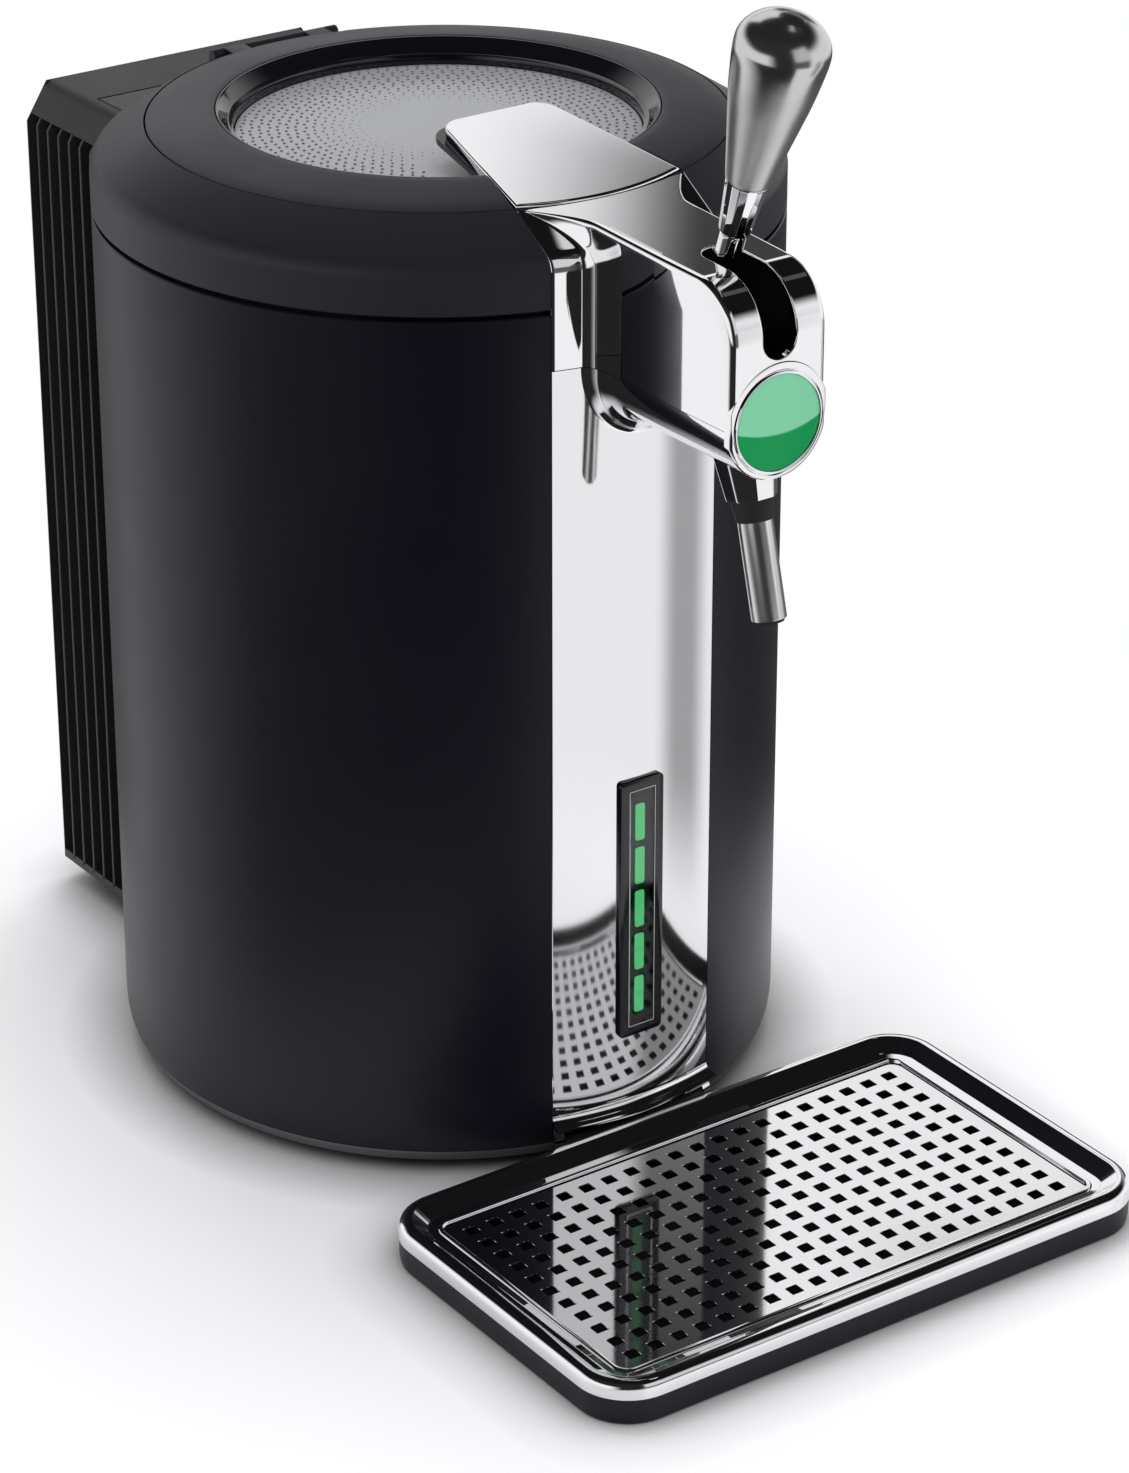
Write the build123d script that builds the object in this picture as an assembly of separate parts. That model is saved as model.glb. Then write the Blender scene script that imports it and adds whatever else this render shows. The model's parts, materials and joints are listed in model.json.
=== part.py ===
from build123d import *
from math import atan2, cos, hypot, radians, sin, tan
import os

# A counter-top dispenser for five-litre mini kegs: an insulated, cooled barrel with a hinged
# lid, a chromed tap on the front, a cooling module on the back and a drip tray in front.
# Millimetres. +Z is up, the tap points along -Y, and x = 0 is the plane of symmetry.
# Every part is drawn about the barrel's axis, and save() moves it by AXIS_Y into the row's frame.

# barrel
BARREL_R = 135.0
BARREL_WALL = 4.0
BARREL_BOTTOM = 10.0
BARREL_TOP = 361.0
EDGE_R = 133.4
EDGE_RISE = 7.0
COLLAR_GAP = 1.8
FOOT_HEIGHT = 4.5
FOOT_R = 9.0
FOOT_CIRCLE = 108.0

# upper collar, its bevel and the lid seam
COLLAR_BOTTOM = BARREL_TOP + COLLAR_GAP
BEVEL_FOOT = 381.6
SEAM_R = 113.4
SEAM_Z = 395.3
BEVEL_SOFT = 9.0
COLLAR_WALL = 3.0
LEDGE_R = 109.0
LEDGE_TOP = 384.0
LEDGE_BOTTOM = 380.0

# lid
LID_R = 112.9
LID_BOTTOM = 385.0
WINDOW_RECESS_R = 86.0
LID_CROWN_Z = 399.5
STEP_R = 80.6
STEP_Z = 393.8
WINDOW_R = 79.0
WINDOW_Z = 389.6
WINDOW_T = 3.0
WINDOW_RISE = 1.6
LID_HINGE_Y = 119.5
LID_HINGE_Z = 392.3
HINGE_R = 2.5
HINGE_PIN_R = 1.25

# lid latch: a chromed flap that continues the tap's top over the window
LATCH_FRONT_R = 112.5
LATCH_FRONT_HALF = 37.2
LATCH_REAR_HALF = 24.0
LATCH_REAR_Y = -36.5
LATCH_SHOULDER_Y = -105.8
LATCH_SLOPE = 0.15
LATCH_FRONT_Z = 395.2
LATCH_T = 4.0
LATCH_PIVOT_Y = -105.0
LATCH_PIVOT_Z = 389.2
LATCH_CLEAR = 0.7
GRIP_WIDER = 3.0
GRIP_T = 2.6

# tap housing
TAP_HALF = 22.0
TAP_FRONT = -217.0
TAP_WALL = 2.5
TAP_TOP_REAR = 395.1
TAP_TOP_FRONT = 392.6
NOSE_R = 22.0
PARTING_Z = 339.2
PANEL_HALF = 37.8
PANEL_T = 1.8
FLARE_Y = -148.5
FLARE_HALF = 25.6
FLARE_DROP = 31.0
SLOT_HALF = 7.7
SLOT_REAR = -182.7
SLOT_FOOT = 371.0

# tap lever, leaning forward at rest
PIVOT_Y = -176.0
PIVOT_Z = 365.5
LEAN = 19.1
PIN_R = 2.5
STEM_R = 4.8
NECK_FOOT = 40.3
NECK_TOP = 62.8
KNOB_WIDE = 118.5
KNOB_R = 17.5
KNOB_DOME = 12.8

# spout, tilted forward
SPOUT_Y = -204.3
SPOUT_Z = 297.0
SPOUT_TILT = 15.0
SPOUT_R = 6.6
SPOUT_LOW = -37.2

# front panel and display
PANEL_BOTTOM = 23.5
DISPLAY_HALF = 10.1
DISPLAY_LOW = 52.0
DISPLAY_HIGH = 164.4
DISPLAY_PROUD = 1.9
PANE_HALF = 5.7
PANE_MARGIN = 4.6
BAR_COUNT = 5
BAR_PITCH = 19.0
BAR_LENGTH = 15.7
BAR_HALF = 2.1
BAR_TOP = 153.0

# keg well and insulation
WELL_R = 88.0
WELL_WALL = 1.5
WELL_FLOOR = 40.0
WELL_TOP = 352.0
FLANGE_R = 112.0

# cooling module on the back
MODULE_HALF = 72.0
MODULE_BACK = 200.0
MODULE_BOTTOM = 10.5
MODULE_TOP = 367.5
CREASE_HALF = 62.0
SHOULDER_Z = 352.0
FIN_PITCH = 8.65
FIN_T = 1.6
FIN_DEPTH = 8.0
FIN_GAPS = 8
COVER_T = 2.0
COOLER_Z = 190.0
FAN_SIDE = 92.0
FAN_T = 25.0

# drip tray
TRAY_HALF = 129.3
TRAY_CENTRE = -220.0
TRAY_DEPTH = 156.6
TRAY_CORNER = 22.0
TRAY_BASE_H = 11.0
RIM_TOP = 18.3
RIM_WIDTH = 17.3
PLATE_HALF = 111.5
PLATE_DEPTH = 121.0
PLATE_TOP = 12.8
PLATE_T = 1.2
HOLE = 5.2
HOLE_PITCH_X = 10.75
HOLE_PITCH_Y = 10.45
HOLE_COLUMNS = 20
HOLE_ROWS = 11

# the row's origin is at the middle of the bounding box's base
TRAY_FRONT = TRAY_CENTRE - TRAY_DEPTH / 2
AXIS_Y = -(TRAY_FRONT + MODULE_BACK) / 2

LOW = (Align.CENTER, Align.CENTER, Align.MIN)
BIG = 400.0


def block(x0, x1, y0, y1, z0, z1):
    """A box between two corners."""
    return Pos((x0 + x1) / 2, (y0 + y1) / 2, (z0 + z1) / 2) * Box(x1 - x0, y1 - y0, z1 - z0)


def disc(radius, z0, z1):
    """A disc about the barrel's axis."""
    return Pos(0, 0, z0) * Cylinder(radius, z1 - z0, align=LOW)


def ring(outer, inner, z0, z1):
    """A ring about the barrel's axis."""
    return disc(outer, z0, z1) - disc(inner, z0 - 1, z1 + 1)


def turned(*points):
    """A closed outline of (radius, z) points turned about the barrel's axis."""
    outline = Polyline(*[(r, 0, z) for r, z in points], close=True)
    return revolve(make_face(outline), Axis.Z)


def side_slab(half, *points):
    """A closed outline of (y, z) points, extruded to both sides of x = 0."""
    outline = Polyline(*[(0, y, z) for y, z in points], close=True)
    return extrude(make_face(outline), half, dir=(1, 0, 0), both=True)


def rod_x(radius, x0, x1, y, z):
    """A round rod along X."""
    return Pos((x0 + x1) / 2, y, z) * Rot(0, 90, 0) * Cylinder(radius, x1 - x0)


def rod_y(radius, y0, y1, x, z):
    """A round rod along Y."""
    return Pos(x, (y0 + y1) / 2, z) * Rot(90, 0, 0) * Cylinder(radius, y1 - y0)


def mirrored(shape):
    """The shape together with its mirror image across x = 0."""
    return shape + mirror(shape, Plane.YZ)


def front_strip(half):
    """The block of space in front of the axis, as wide as the panel."""
    return block(-half, half, -BIG, -60, 0, BIG + 100)


# ---------------------------------------------------------------- barrel


def barrel_shell():
    """The outer skin, recessed at the front for the panel and open at the back for the cooler."""
    inner = BARREL_R - BARREL_WALL
    shell = turned(
        (inner, BARREL_BOTTOM),
        (EDGE_R, BARREL_BOTTOM),
        (EDGE_R + 1.1, BARREL_BOTTOM + EDGE_RISE * 0.35),
        (BARREL_R, BARREL_BOTTOM + EDGE_RISE),
        (BARREL_R, BARREL_TOP),
        (inner, BARREL_TOP),
    )
    recess = ring(BARREL_R + 2, BARREL_R - PANEL_T - 0.3, 0, BIG)
    shell -= recess & front_strip(PANEL_HALF + 0.3)
    return shell - block(-30, 30, 100, 150, COOLER_Z - 30, COOLER_Z + 30)


def base_ring():
    """The bevelled ring between the skin and the floor, with an inner flange for the base screws."""
    top = BARREL_BOTTOM - 0.2
    section = turned(
        (124, FOOT_HEIGHT),
        (130.4, FOOT_HEIGHT),
        (EDGE_R - 0.3, top - 1.2),
        (EDGE_R - 0.3, top),
        (BARREL_R - BARREL_WALL - 0.4, top),
        (BARREL_R - BARREL_WALL - 0.4, 13.8),
        (98, 13.8),
        (98, 9.2),
        (124, 9.2),
    )
    for hollow in screw_group(1.62, 3.4):
        section -= hollow
    return section


def base_plate():
    """The floor of the machine, with a socket for each foot."""
    plate = disc(123.7, FOOT_HEIGHT, 9.0)
    for hollow in foot_group(FOOT_R + 0.2, 3.0, 6.5) + screw_group(1.8, 3.4):
        plate -= hollow
    return plate


def foot_group(radius, z0, z1):
    """Four round solids under the barrel."""
    foot = Cylinder(radius, z1 - z0, align=LOW)
    places = PolarLocations(FOOT_CIRCLE, 4, start_angle=45)
    return [Pos(0, 0, z0) * place * foot for place in places]


def screw_group(shank_r, head_r):
    """Four countersunk screws, heads down, between the feet."""
    screw = Cylinder(shank_r, 8.7, align=LOW) + Cone(head_r, shank_r, 2, align=LOW)
    places = PolarLocations(FOOT_CIRCLE, 4, start_angle=0)
    return [Pos(0, 0, FOOT_HEIGHT + 0.3) * place * screw for place in places]


def base_screws():
    """The four screws that hold the base plate."""
    return Compound(children=screw_group(1.6, 3.2))


def seam_ring():
    """A dark ring that joins the barrel to the collar and shows in the gap between them."""
    return ring(BARREL_R - BARREL_WALL - 0.1, 127, 352.5, COLLAR_BOTTOM + 5)


def collar_edge(radius, low):
    """The collar's wall from a low point up, its soft edge, and the straight bevel to the seam."""
    run = hypot(BARREL_R - SEAM_R, SEAM_Z - BEVEL_FOOT)
    along = ((SEAM_R - BARREL_R) / run, (SEAM_Z - BEVEL_FOOT) / run)
    turn = radians(90) - atan2(along[1], -along[0])
    reach = BEVEL_SOFT * tan(turn / 2)
    grow = radius - BARREL_R
    foot = BEVEL_FOOT + grow
    start = (radius, 0, foot - reach)
    end = (radius + along[0] * reach, 0, foot + along[1] * reach)
    middle = (radius - BEVEL_SOFT + BEVEL_SOFT * cos(turn / 2), 0, foot - reach + BEVEL_SOFT * sin(turn / 2))
    seam = (SEAM_R + 0.5, 0, SEAM_Z + grow - 0.32)
    return [Line((radius, 0, low), start), ThreePointArc(start, middle, end), Line(end, seam)]


def collar_outer(grow):
    """The collar's outer surface as a full solid; grow moves the whole outline outwards."""
    edge = collar_edge(BARREL_R + grow, PARTING_Z)
    top = SEAM_Z + grow - 0.32
    close = Polyline((SEAM_R + 0.5, 0, top), (0, 0, top), (0, 0, PARTING_Z), (BARREL_R + grow, 0, PARTING_Z))
    return revolve(make_face(edge + [close]), Axis.Z)


def collar_core(drop):
    """What lies behind the chromed flange where it crosses the collar."""
    r = BARREL_R - PANEL_T - drop
    return turned((0, 300), (r, 300), (r, 380.6 - drop), (SEAM_R - 0.4, 393.1 - drop), (0, 393.1 - drop))


def upper_collar():
    """The fixed bevelled head of the barrel, with the ledge that the lid rests on."""
    inner = BARREL_R - COLLAR_WALL - 0.2
    corners = (
        (SEAM_R + 0.5, SEAM_Z - 0.32),
        (SEAM_R, SEAM_Z - 0.7),
        (SEAM_R, LEDGE_TOP),
        (LEDGE_R, LEDGE_TOP),
        (LEDGE_R, LEDGE_BOTTOM),
        (116.6, LEDGE_BOTTOM),
        (116.6, 388.5),
        (inner, 379.5),
        (inner, COLLAR_BOTTOM),
        (BARREL_R, COLLAR_BOTTOM),
    )
    inside = Polyline(*[(r, 0, z) for r, z in corners])
    head = revolve(make_face(collar_edge(BARREL_R, COLLAR_BOTTOM) + [inside]), Axis.Z)
    head -= front_strip(PANEL_HALF + 0.3) - collar_core(0.3)
    head -= block(-30, 30, 105, 123.4, 388.6, BIG)
    ears = rod_x(HINGE_R, -29.5, -24.4, LID_HINGE_Y, LID_HINGE_Z)
    foot = HINGE_R - 0.15
    ears += block(-29.5, -24.4, LID_HINGE_Y - foot, LID_HINGE_Y + foot, 388.2, LID_HINGE_Z)
    post = rod_x(HINGE_R, -13.4, 13.4, LID_HINGE_Y, LID_HINGE_Z)
    post += block(-13.4, 13.4, LID_HINGE_Y - foot, LID_HINGE_Y + foot, 388.2, LID_HINGE_Z)
    head += mirrored(ears) + post
    return head - rod_x(HINGE_PIN_R + 0.02, -40, 40, LID_HINGE_Y, LID_HINGE_Z)


def lid_hinge_pin():
    """The pin that the lid turns on."""
    return rod_x(HINGE_PIN_R, -29.3, 29.3, LID_HINGE_Y, LID_HINGE_Z)


# ---------------------------------------------------------------- keg well


def keg_well():
    """The aluminium can that holds the keg, with a flange at its mouth."""
    outer = WELL_R + WELL_WALL
    can = disc(outer, WELL_FLOOR, WELL_TOP) - disc(WELL_R, WELL_FLOOR + 2.5, BIG)
    return can + ring(FLANGE_R, WELL_R, WELL_TOP - 1.5, WELL_TOP)


def well_gasket():
    """The rubber ring around the mouth of the well."""
    return turned((WELL_R + 2, WELL_TOP + 0.1), (WELL_R + 8, WELL_TOP + 0.1), (WELL_R + 6.5, WELL_TOP + 2.6), (WELL_R + 3.5, WELL_TOP + 2.6))


def inner_liner():
    """The plastic wall between the well's flange and the collar's ledge."""
    return ring(FLANGE_R - 0.2, LEDGE_R + 0.2, WELL_TOP + 0.1, LEDGE_BOTTOM - 0.2)


def insulation():
    """The foam between the well and the skin, cut out for the cold block."""
    foam = disc(BARREL_R - BARREL_WALL - 0.5, 14.3, WELL_TOP - 2)
    foam -= disc(WELL_R + WELL_WALL + 0.4, WELL_FLOOR - 0.4, BIG)
    foam -= ring(BIG, 126.5, 350, BIG)
    return foam - block(-27, 27, 60, 150, COOLER_Z - 27, COOLER_Z + 27)


# ---------------------------------------------------------------- front panel and display


def front_panel():
    """The mirror-finished steel sheet down the front, with a window for the display."""
    sheet = ring(BARREL_R, BARREL_R - PANEL_T, PANEL_BOTTOM, PARTING_Z - 0.4) & front_strip(PANEL_HALF)
    low = DISPLAY_LOW + PANE_MARGIN - 1
    high = DISPLAY_HIGH - PANE_MARGIN + 1
    return sheet - block(-PANE_HALF - 1, PANE_HALF + 1, -BIG, -100, low, high)


def panel_lip():
    """The flared chrome strip under the panel."""
    lip = turned(
        (BARREL_R - 1.6, PANEL_BOTTOM - 0.3),
        (BARREL_R + 0.1, PANEL_BOTTOM - 0.3),
        (BARREL_R + 0.6, 21.2),
        (BARREL_R + 2.2, 19.8),
        (BARREL_R + 5.4, 18.9),
        (BARREL_R + 5.4, 17.6),
        (BARREL_R + 1.4, 18.3),
        (BARREL_R - 0.8, 20.0),
        (BARREL_R - 1.6, 21.6),
    )
    return lip & front_strip(PANEL_HALF)


def panel_feet():
    """The two small brackets at the lower corners of the panel."""
    strip = ring(BARREL_R + 2.6, BARREL_R - 1.6, 11.0, 17.5)
    return strip & mirrored(block(PANEL_HALF - 4.2, PANEL_HALF, -BIG, -60, 0, BIG))


def display_bezel():
    """The dark frame of the display, standing a little proud of the panel."""
    outline = Pos(0, 0, (DISPLAY_LOW + DISPLAY_HIGH) / 2) * Box(2 * DISPLAY_HALF, 2 * BIG, DISPLAY_HIGH - DISPLAY_LOW)
    outline = fillet(outline.edges().filter_by(Axis.Y), 2.5)
    outline &= block(-20, 20, -BIG, -60, 0, BIG)
    frame = ring(BARREL_R + DISPLAY_PROUD, BARREL_R + 0.05, 20, 300) & outline
    return frame - display_opening(0)


def display_opening(clear):
    """The window in the bezel, less a clearance on every side."""
    half = PANE_HALF - clear
    low = DISPLAY_LOW + PANE_MARGIN + clear
    high = DISPLAY_HIGH - PANE_MARGIN - clear
    return block(-half, half, -BIG, -60, low, high)


def display_pane():
    """The smoked pane in front of the light bars."""
    return ring(BARREL_R + DISPLAY_PROUD - 0.3, BARREL_R + 0.4, 20, 300) & display_opening(0.1)


def display_board():
    """The small circuit board that carries the light bars."""
    board = block(-PANE_HALF + 0.3, PANE_HALF - 0.3, -134.1, -133.35, DISPLAY_LOW + 6, DISPLAY_HIGH - 6)
    return board - disc(BARREL_R - BARREL_WALL + 2.0, 0, BIG)


def light_bars():
    """Five green light bars on the board."""
    bars = []
    for index in range(BAR_COUNT):
        top = BAR_TOP - index * BAR_PITCH
        bars.append(block(-BAR_HALF, BAR_HALF, -134.9, -134.15, top - BAR_LENGTH, top))
    return Compound(children=bars)


# ---------------------------------------------------------------- tap housing


def nose_solid(half, inset):
    """The tap's body in side view, rounded at the front; inset moves every face inwards."""
    front = TAP_FRONT + inset
    centre_y = TAP_FRONT + NOSE_R
    centre_z = TAP_TOP_FRONT - NOSE_R
    diag = (NOSE_R - inset) * sin(radians(45))
    top_front = TAP_TOP_FRONT - inset
    top_rear = TAP_TOP_REAR - inset
    outline = [
        Line((0, -100, top_rear), (0, centre_y, top_front)),
        ThreePointArc((0, centre_y, top_front), (0, centre_y - diag, centre_z + diag), (0, front, centre_z)),
        Line((0, front, centre_z), (0, front, PARTING_Z)),
        Line((0, front, PARTING_Z), (0, -100, PARTING_Z)),
        Line((0, -100, PARTING_Z), (0, -100, top_rear)),
    ]
    return extrude(make_face(outline), half, dir=(1, 0, 0), both=True)


def flare_plan():
    """The tap's root in plan: it widens in a hollow curve from the tap to the panel's edges."""
    near = ThreePointArc((TAP_HALF, FLARE_Y, 0), (22.9, -140.5, 0), (FLARE_HALF, -133, 0))
    far = ThreePointArc((FLARE_HALF, -133, 0), (29.6, -119.5, 0), (PANEL_HALF, -106.5, 0))
    edge = Polyline((PANEL_HALF, -106.5, 0), (PANEL_HALF, -90, 0), (0, -90, 0), (0, FLARE_Y, 0), (TAP_HALF, FLARE_Y, 0))
    half = extrude(Pos(0, 0, PARTING_Z) * make_face([near, far, edge]), 80)
    return mirrored(half)


def tap_upper_shell():
    """The chromed upper tap housing, in one piece with the flange over the collar."""
    nose = nose_solid(TAP_HALF, 0)
    rounded = nose.edges().filter_by(lambda e: e.center().Y < -150 and abs(e.center().X) > TAP_HALF - 1)
    rounded = [e for e in rounded if e.center().Z > PARTING_Z + 5]
    nose = fillet(rounded, 2.2)
    roof = nose_solid(PANEL_HALF + 5, 0)
    body = nose + (flare_plan() & roof)
    body += (collar_outer(0.15) & front_strip(PANEL_HALF)) - disc(BIG, 300, PARTING_Z)
    body -= collar_core(0)
    body -= disc(SEAM_R + 0.4, PARTING_Z, BIG)
    body -= nose_solid(TAP_HALF - TAP_WALL, TAP_WALL) & block(-30, 30, -BIG, -138, 0, BIG)
    body -= lever_slot()
    body -= badge_outline(0.2, TAP_FRONT - 5, TAP_FRONT + 4.2)
    return body.solids().sort_by(SortBy.VOLUME)[-1]


def lever_slot():
    """The slot that the lever swings in, from the top over the nose."""
    slot = block(-SLOT_HALF, SLOT_HALF, -BIG, SLOT_REAR, SLOT_FOOT, BIG)
    slot += Pos(0, SLOT_REAR, 380) * Cylinder(SLOT_HALF, 40, align=LOW)
    return slot + rod_y(SLOT_HALF, -240, -205, 0, SLOT_FOOT)


def badge_outline(grow, y0, y1):
    """The round end piece of the nose, squared off at the tap's sides."""
    face = rod_y(TAP_HALF + grow, y0, y1, 0, PARTING_Z)
    face += block(-TAP_HALF - grow, TAP_HALF + grow, y0, y1, PARTING_Z, PARTING_Z + 5.6 + grow)
    return face


def tap_lower_shell():
    """The half-round underside of the tap, flared where it meets the panel."""
    tube = rod_y(TAP_HALF, TAP_FRONT + 4.2, -120, 0, PARTING_Z)
    near = Plane(origin=(0, FLARE_Y, PARTING_Z), x_dir=(1, 0, 0), z_dir=(0, 1, 0))
    far = Plane(origin=(0, -126, PARTING_Z), x_dir=(1, 0, 0), z_dir=(0, 1, 0))
    reach = (-126 - FLARE_Y) / (-133 - FLARE_Y)
    wide = TAP_HALF + (FLARE_HALF - TAP_HALF) * reach
    deep = TAP_HALF + (FLARE_DROP - TAP_HALF) * reach
    flare = loft([near * Circle(TAP_HALF), far * Ellipse(wide, deep)])
    shell = tube + flare
    shell -= block(-BIG, BIG, -BIG, BIG, PARTING_Z - 0.2, BIG + 100)
    shell -= rod_y(TAP_HALF - TAP_WALL, TAP_FRONT - 10, -138, 0, PARTING_Z)
    shell -= disc(BARREL_R + 0.1, 0, BIG)
    return shell - spout_place() * Cylinder(SPOUT_R + 0.1, 80)


def badge_base():
    """The chromed round end piece that carries the badge."""
    piece = badge_outline(0, TAP_FRONT, TAP_FRONT + 4)
    rim = piece.edges().filter_by(lambda e: abs(e.center().Y - TAP_FRONT) < 0.1)
    piece = fillet(rim, 1.4)
    return piece - rod_y(19.6, TAP_FRONT - 5, TAP_FRONT + 1.6, 0, PARTING_Z)


def badge_ring():
    """The thin bright ring around the badge."""
    return rod_y(19.5, TAP_FRONT - 0.5, TAP_FRONT + 1.5, 0, PARTING_Z) - rod_y(18.5, -240, -200, 0, PARTING_Z)


def badge_disc():
    """The domed coloured disc on the end of the tap."""
    dome = Pos(0, TAP_FRONT + 1.5, PARTING_Z) * Rot(90, 0, 0) * Cylinder(18.4, 1.6, align=LOW)
    ball_r = 120.0
    cap = Pos(0, TAP_FRONT - 1.6 + ball_r, PARTING_Z) * Sphere(ball_r)
    return (dome + rod_y(18.4, TAP_FRONT - 5, TAP_FRONT, 0, PARTING_Z)) & cap


def spout_place():
    """The spout's frame: its local z runs up the tilted spout."""
    return Pos(0, SPOUT_Y, SPOUT_Z) * Rot(-SPOUT_TILT, 0, 0)


def spout_collar():
    """The tapered chrome collar under the tap."""
    cone = Pos(0, 0, 8.3) * Cone(9.2, 13.2, 28, align=LOW) - Cylinder(SPOUT_R + 0.1, 120)
    collar = spout_place() * cone
    return collar - rod_y(TAP_HALF + 0.05, -300, -100, 0, PARTING_Z)


def spout_seal():
    """The black rubber ring between the collar and the steel tube."""
    return spout_place() * (Cone(SPOUT_R + 0.25, 8.2, 8.2, align=LOW) - Cylinder(SPOUT_R + 0.05, 60))


def spout_tube():
    """The brushed steel spout tube, which reaches up into the valve body."""
    tube = Cylinder(SPOUT_R, 34 - SPOUT_LOW, align=LOW) - Cylinder(SPOUT_R - 1.0, 90, align=LOW)
    return spout_place() * Pos(0, 0, SPOUT_LOW) * tube


def spout_tip():
    """The dark sleeve that shows at the spout's mouth."""
    sleeve = Cylinder(SPOUT_R - 1.05, 9, align=LOW) - Cylinder(SPOUT_R - 2.0, 30, align=LOW)
    return spout_place() * Pos(0, 0, SPOUT_LOW - 1.2) * sleeve


# ---------------------------------------------------------------- valve and lever


def valve_body():
    """The block inside the tap: it clamps the beer line and carries the lever's pin."""
    body = block(-11.4, 11.4, -211, -166, 328.5, 352.5)
    body += mirrored(block(7.9, 11.4, -188, -166, 350, 375))
    body += block(-19.4, 19.4, -200, -191, 341, 350)
    body -= rod_y(4.08, -192, -150, 0, 346)
    body -= spout_place() * Pos(0, 0, 20) * Cylinder(SPOUT_R + 0.05, 60, align=LOW)
    return body - rod_x(PIN_R + 0.02, -30, 30, PIVOT_Y, PIVOT_Z)


def valve_plunger():
    """The plunger that pinches the beer line shut."""
    plunger = rod_y(4.0, -185.6, -164, 0, 346)
    return plunger + rod_y(5.5, -164, -161.5, 0, 346)


def lever_pin():
    """The steel pin that the lever turns on."""
    return rod_x(PIN_R, -11.3, 11.3, PIVOT_Y, PIVOT_Z)


def lever_place():
    """The lever's frame: its local z runs up the leaning lever from the pivot."""
    return Pos(0, PIVOT_Y, PIVOT_Z) * Rot(LEAN, 0, 0)


def lever_stem():
    """The round stem and the hub that turns on the pin."""
    hub = rod_x(8.0, -7.2, 7.2, 0, 0)
    stem = Cylinder(STEM_R, NECK_FOOT - 3, align=LOW) + Pos(0, 0, NECK_FOOT - 3) * Cone(STEM_R, 5.8, 3, align=LOW)
    return lever_place() * (hub + stem - rod_x(PIN_R + 0.06, -30, 30, 0, 0))


def lever_neck():
    """The eight-sided tapered neck under the knob."""
    low = Pos(0, 0, NECK_FOOT) * RegularPolygon(6.3, 8)
    high = Pos(0, 0, NECK_TOP) * RegularPolygon(8.6, 8)
    return lever_place() * loft([low, high])


def lever_knob():
    """The tapered satin knob with a domed top."""
    foot_r = 8.4
    side_low = NECK_TOP + 0.05
    outline = [
        Line((0, 0, side_low), (foot_r - 0.8, 0, side_low)),
        Line((foot_r - 0.8, 0, side_low), (foot_r, 0, side_low + 0.8)),
        ThreePointArc((foot_r, 0, side_low + 0.8), (13.2, 0, 88.5), (17.0, 0, 112.0)),
        Spline(
            (17.0, 0, 112.0),
            (KNOB_R, 0, KNOB_WIDE),
            (KNOB_R * 0.707, 0, KNOB_WIDE + KNOB_DOME * 0.707),
            (0, 0, KNOB_WIDE + KNOB_DOME),
            tangents=((0.16, 0, 1), (-1, 0, 0)),
        ),
        Line((0, 0, KNOB_WIDE + KNOB_DOME), (0, 0, side_low)),
    ]
    return lever_place() * revolve(make_face(outline), Axis.Z)


# ---------------------------------------------------------------- lid and latch


def latch_top(y):
    """Height of the latch's top face at y."""
    return LATCH_FRONT_Z + LATCH_SLOPE * (y + LATCH_FRONT_R)


def latch_plan(grow):
    """The latch's outline in plan as a tall solid, grown on every side."""
    rear = LATCH_REAR_Y + grow
    corner = 9.0
    side_y = rear - corner
    outline = [
        Line((-LATCH_REAR_HALF - grow + corner, rear, 0), (LATCH_REAR_HALF + grow - corner, rear, 0)),
        RadiusArc((LATCH_REAR_HALF + grow - corner, rear, 0), (LATCH_REAR_HALF + grow, side_y, 0), corner),
        Line((LATCH_REAR_HALF + grow, side_y, 0), (LATCH_FRONT_HALF + grow, LATCH_SHOULDER_Y, 0)),
        Line((LATCH_FRONT_HALF + grow, LATCH_SHOULDER_Y, 0), (LATCH_FRONT_HALF + grow, -130, 0)),
        Line((LATCH_FRONT_HALF + grow, -130, 0), (-LATCH_FRONT_HALF - grow, -130, 0)),
        Line((-LATCH_FRONT_HALF - grow, -130, 0), (-LATCH_FRONT_HALF - grow, LATCH_SHOULDER_Y, 0)),
        Line((-LATCH_FRONT_HALF - grow, LATCH_SHOULDER_Y, 0), (-LATCH_REAR_HALF - grow, side_y, 0)),
        RadiusArc((-LATCH_REAR_HALF - grow, side_y, 0), (-LATCH_REAR_HALF - grow + corner, rear, 0), corner),
    ]
    return extrude(Pos(0, 0, 350) * make_face(outline), 100)


def latch_slab(above, below):
    """The sloping slab of space from above the latch's top face to below it."""
    front, rear = -125, -30
    return side_slab(
        60,
        (front, latch_top(front) + above),
        (rear, latch_top(rear) + above),
        (rear, latch_top(rear) - below),
        (front, latch_top(front) - below),
    )


def latch_space():
    """The space that the lid leaves free for the latch and its grip."""
    space = latch_plan(LATCH_CLEAR) & latch_slab(20, LATCH_T + LATCH_CLEAR)
    grip = latch_plan(LATCH_CLEAR) & latch_slab(0, LATCH_T + 6.8) & block(-40, 40, -90, -30, 300, BIG + 50)
    nose = latch_plan(LATCH_CLEAR) & latch_slab(0, LATCH_T + LATCH_CLEAR + 1.6)
    nose &= block(-45, 45, -130, LATCH_PIVOT_Y + 2, 300, BIG + 50)
    return space + grip + nose


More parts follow.
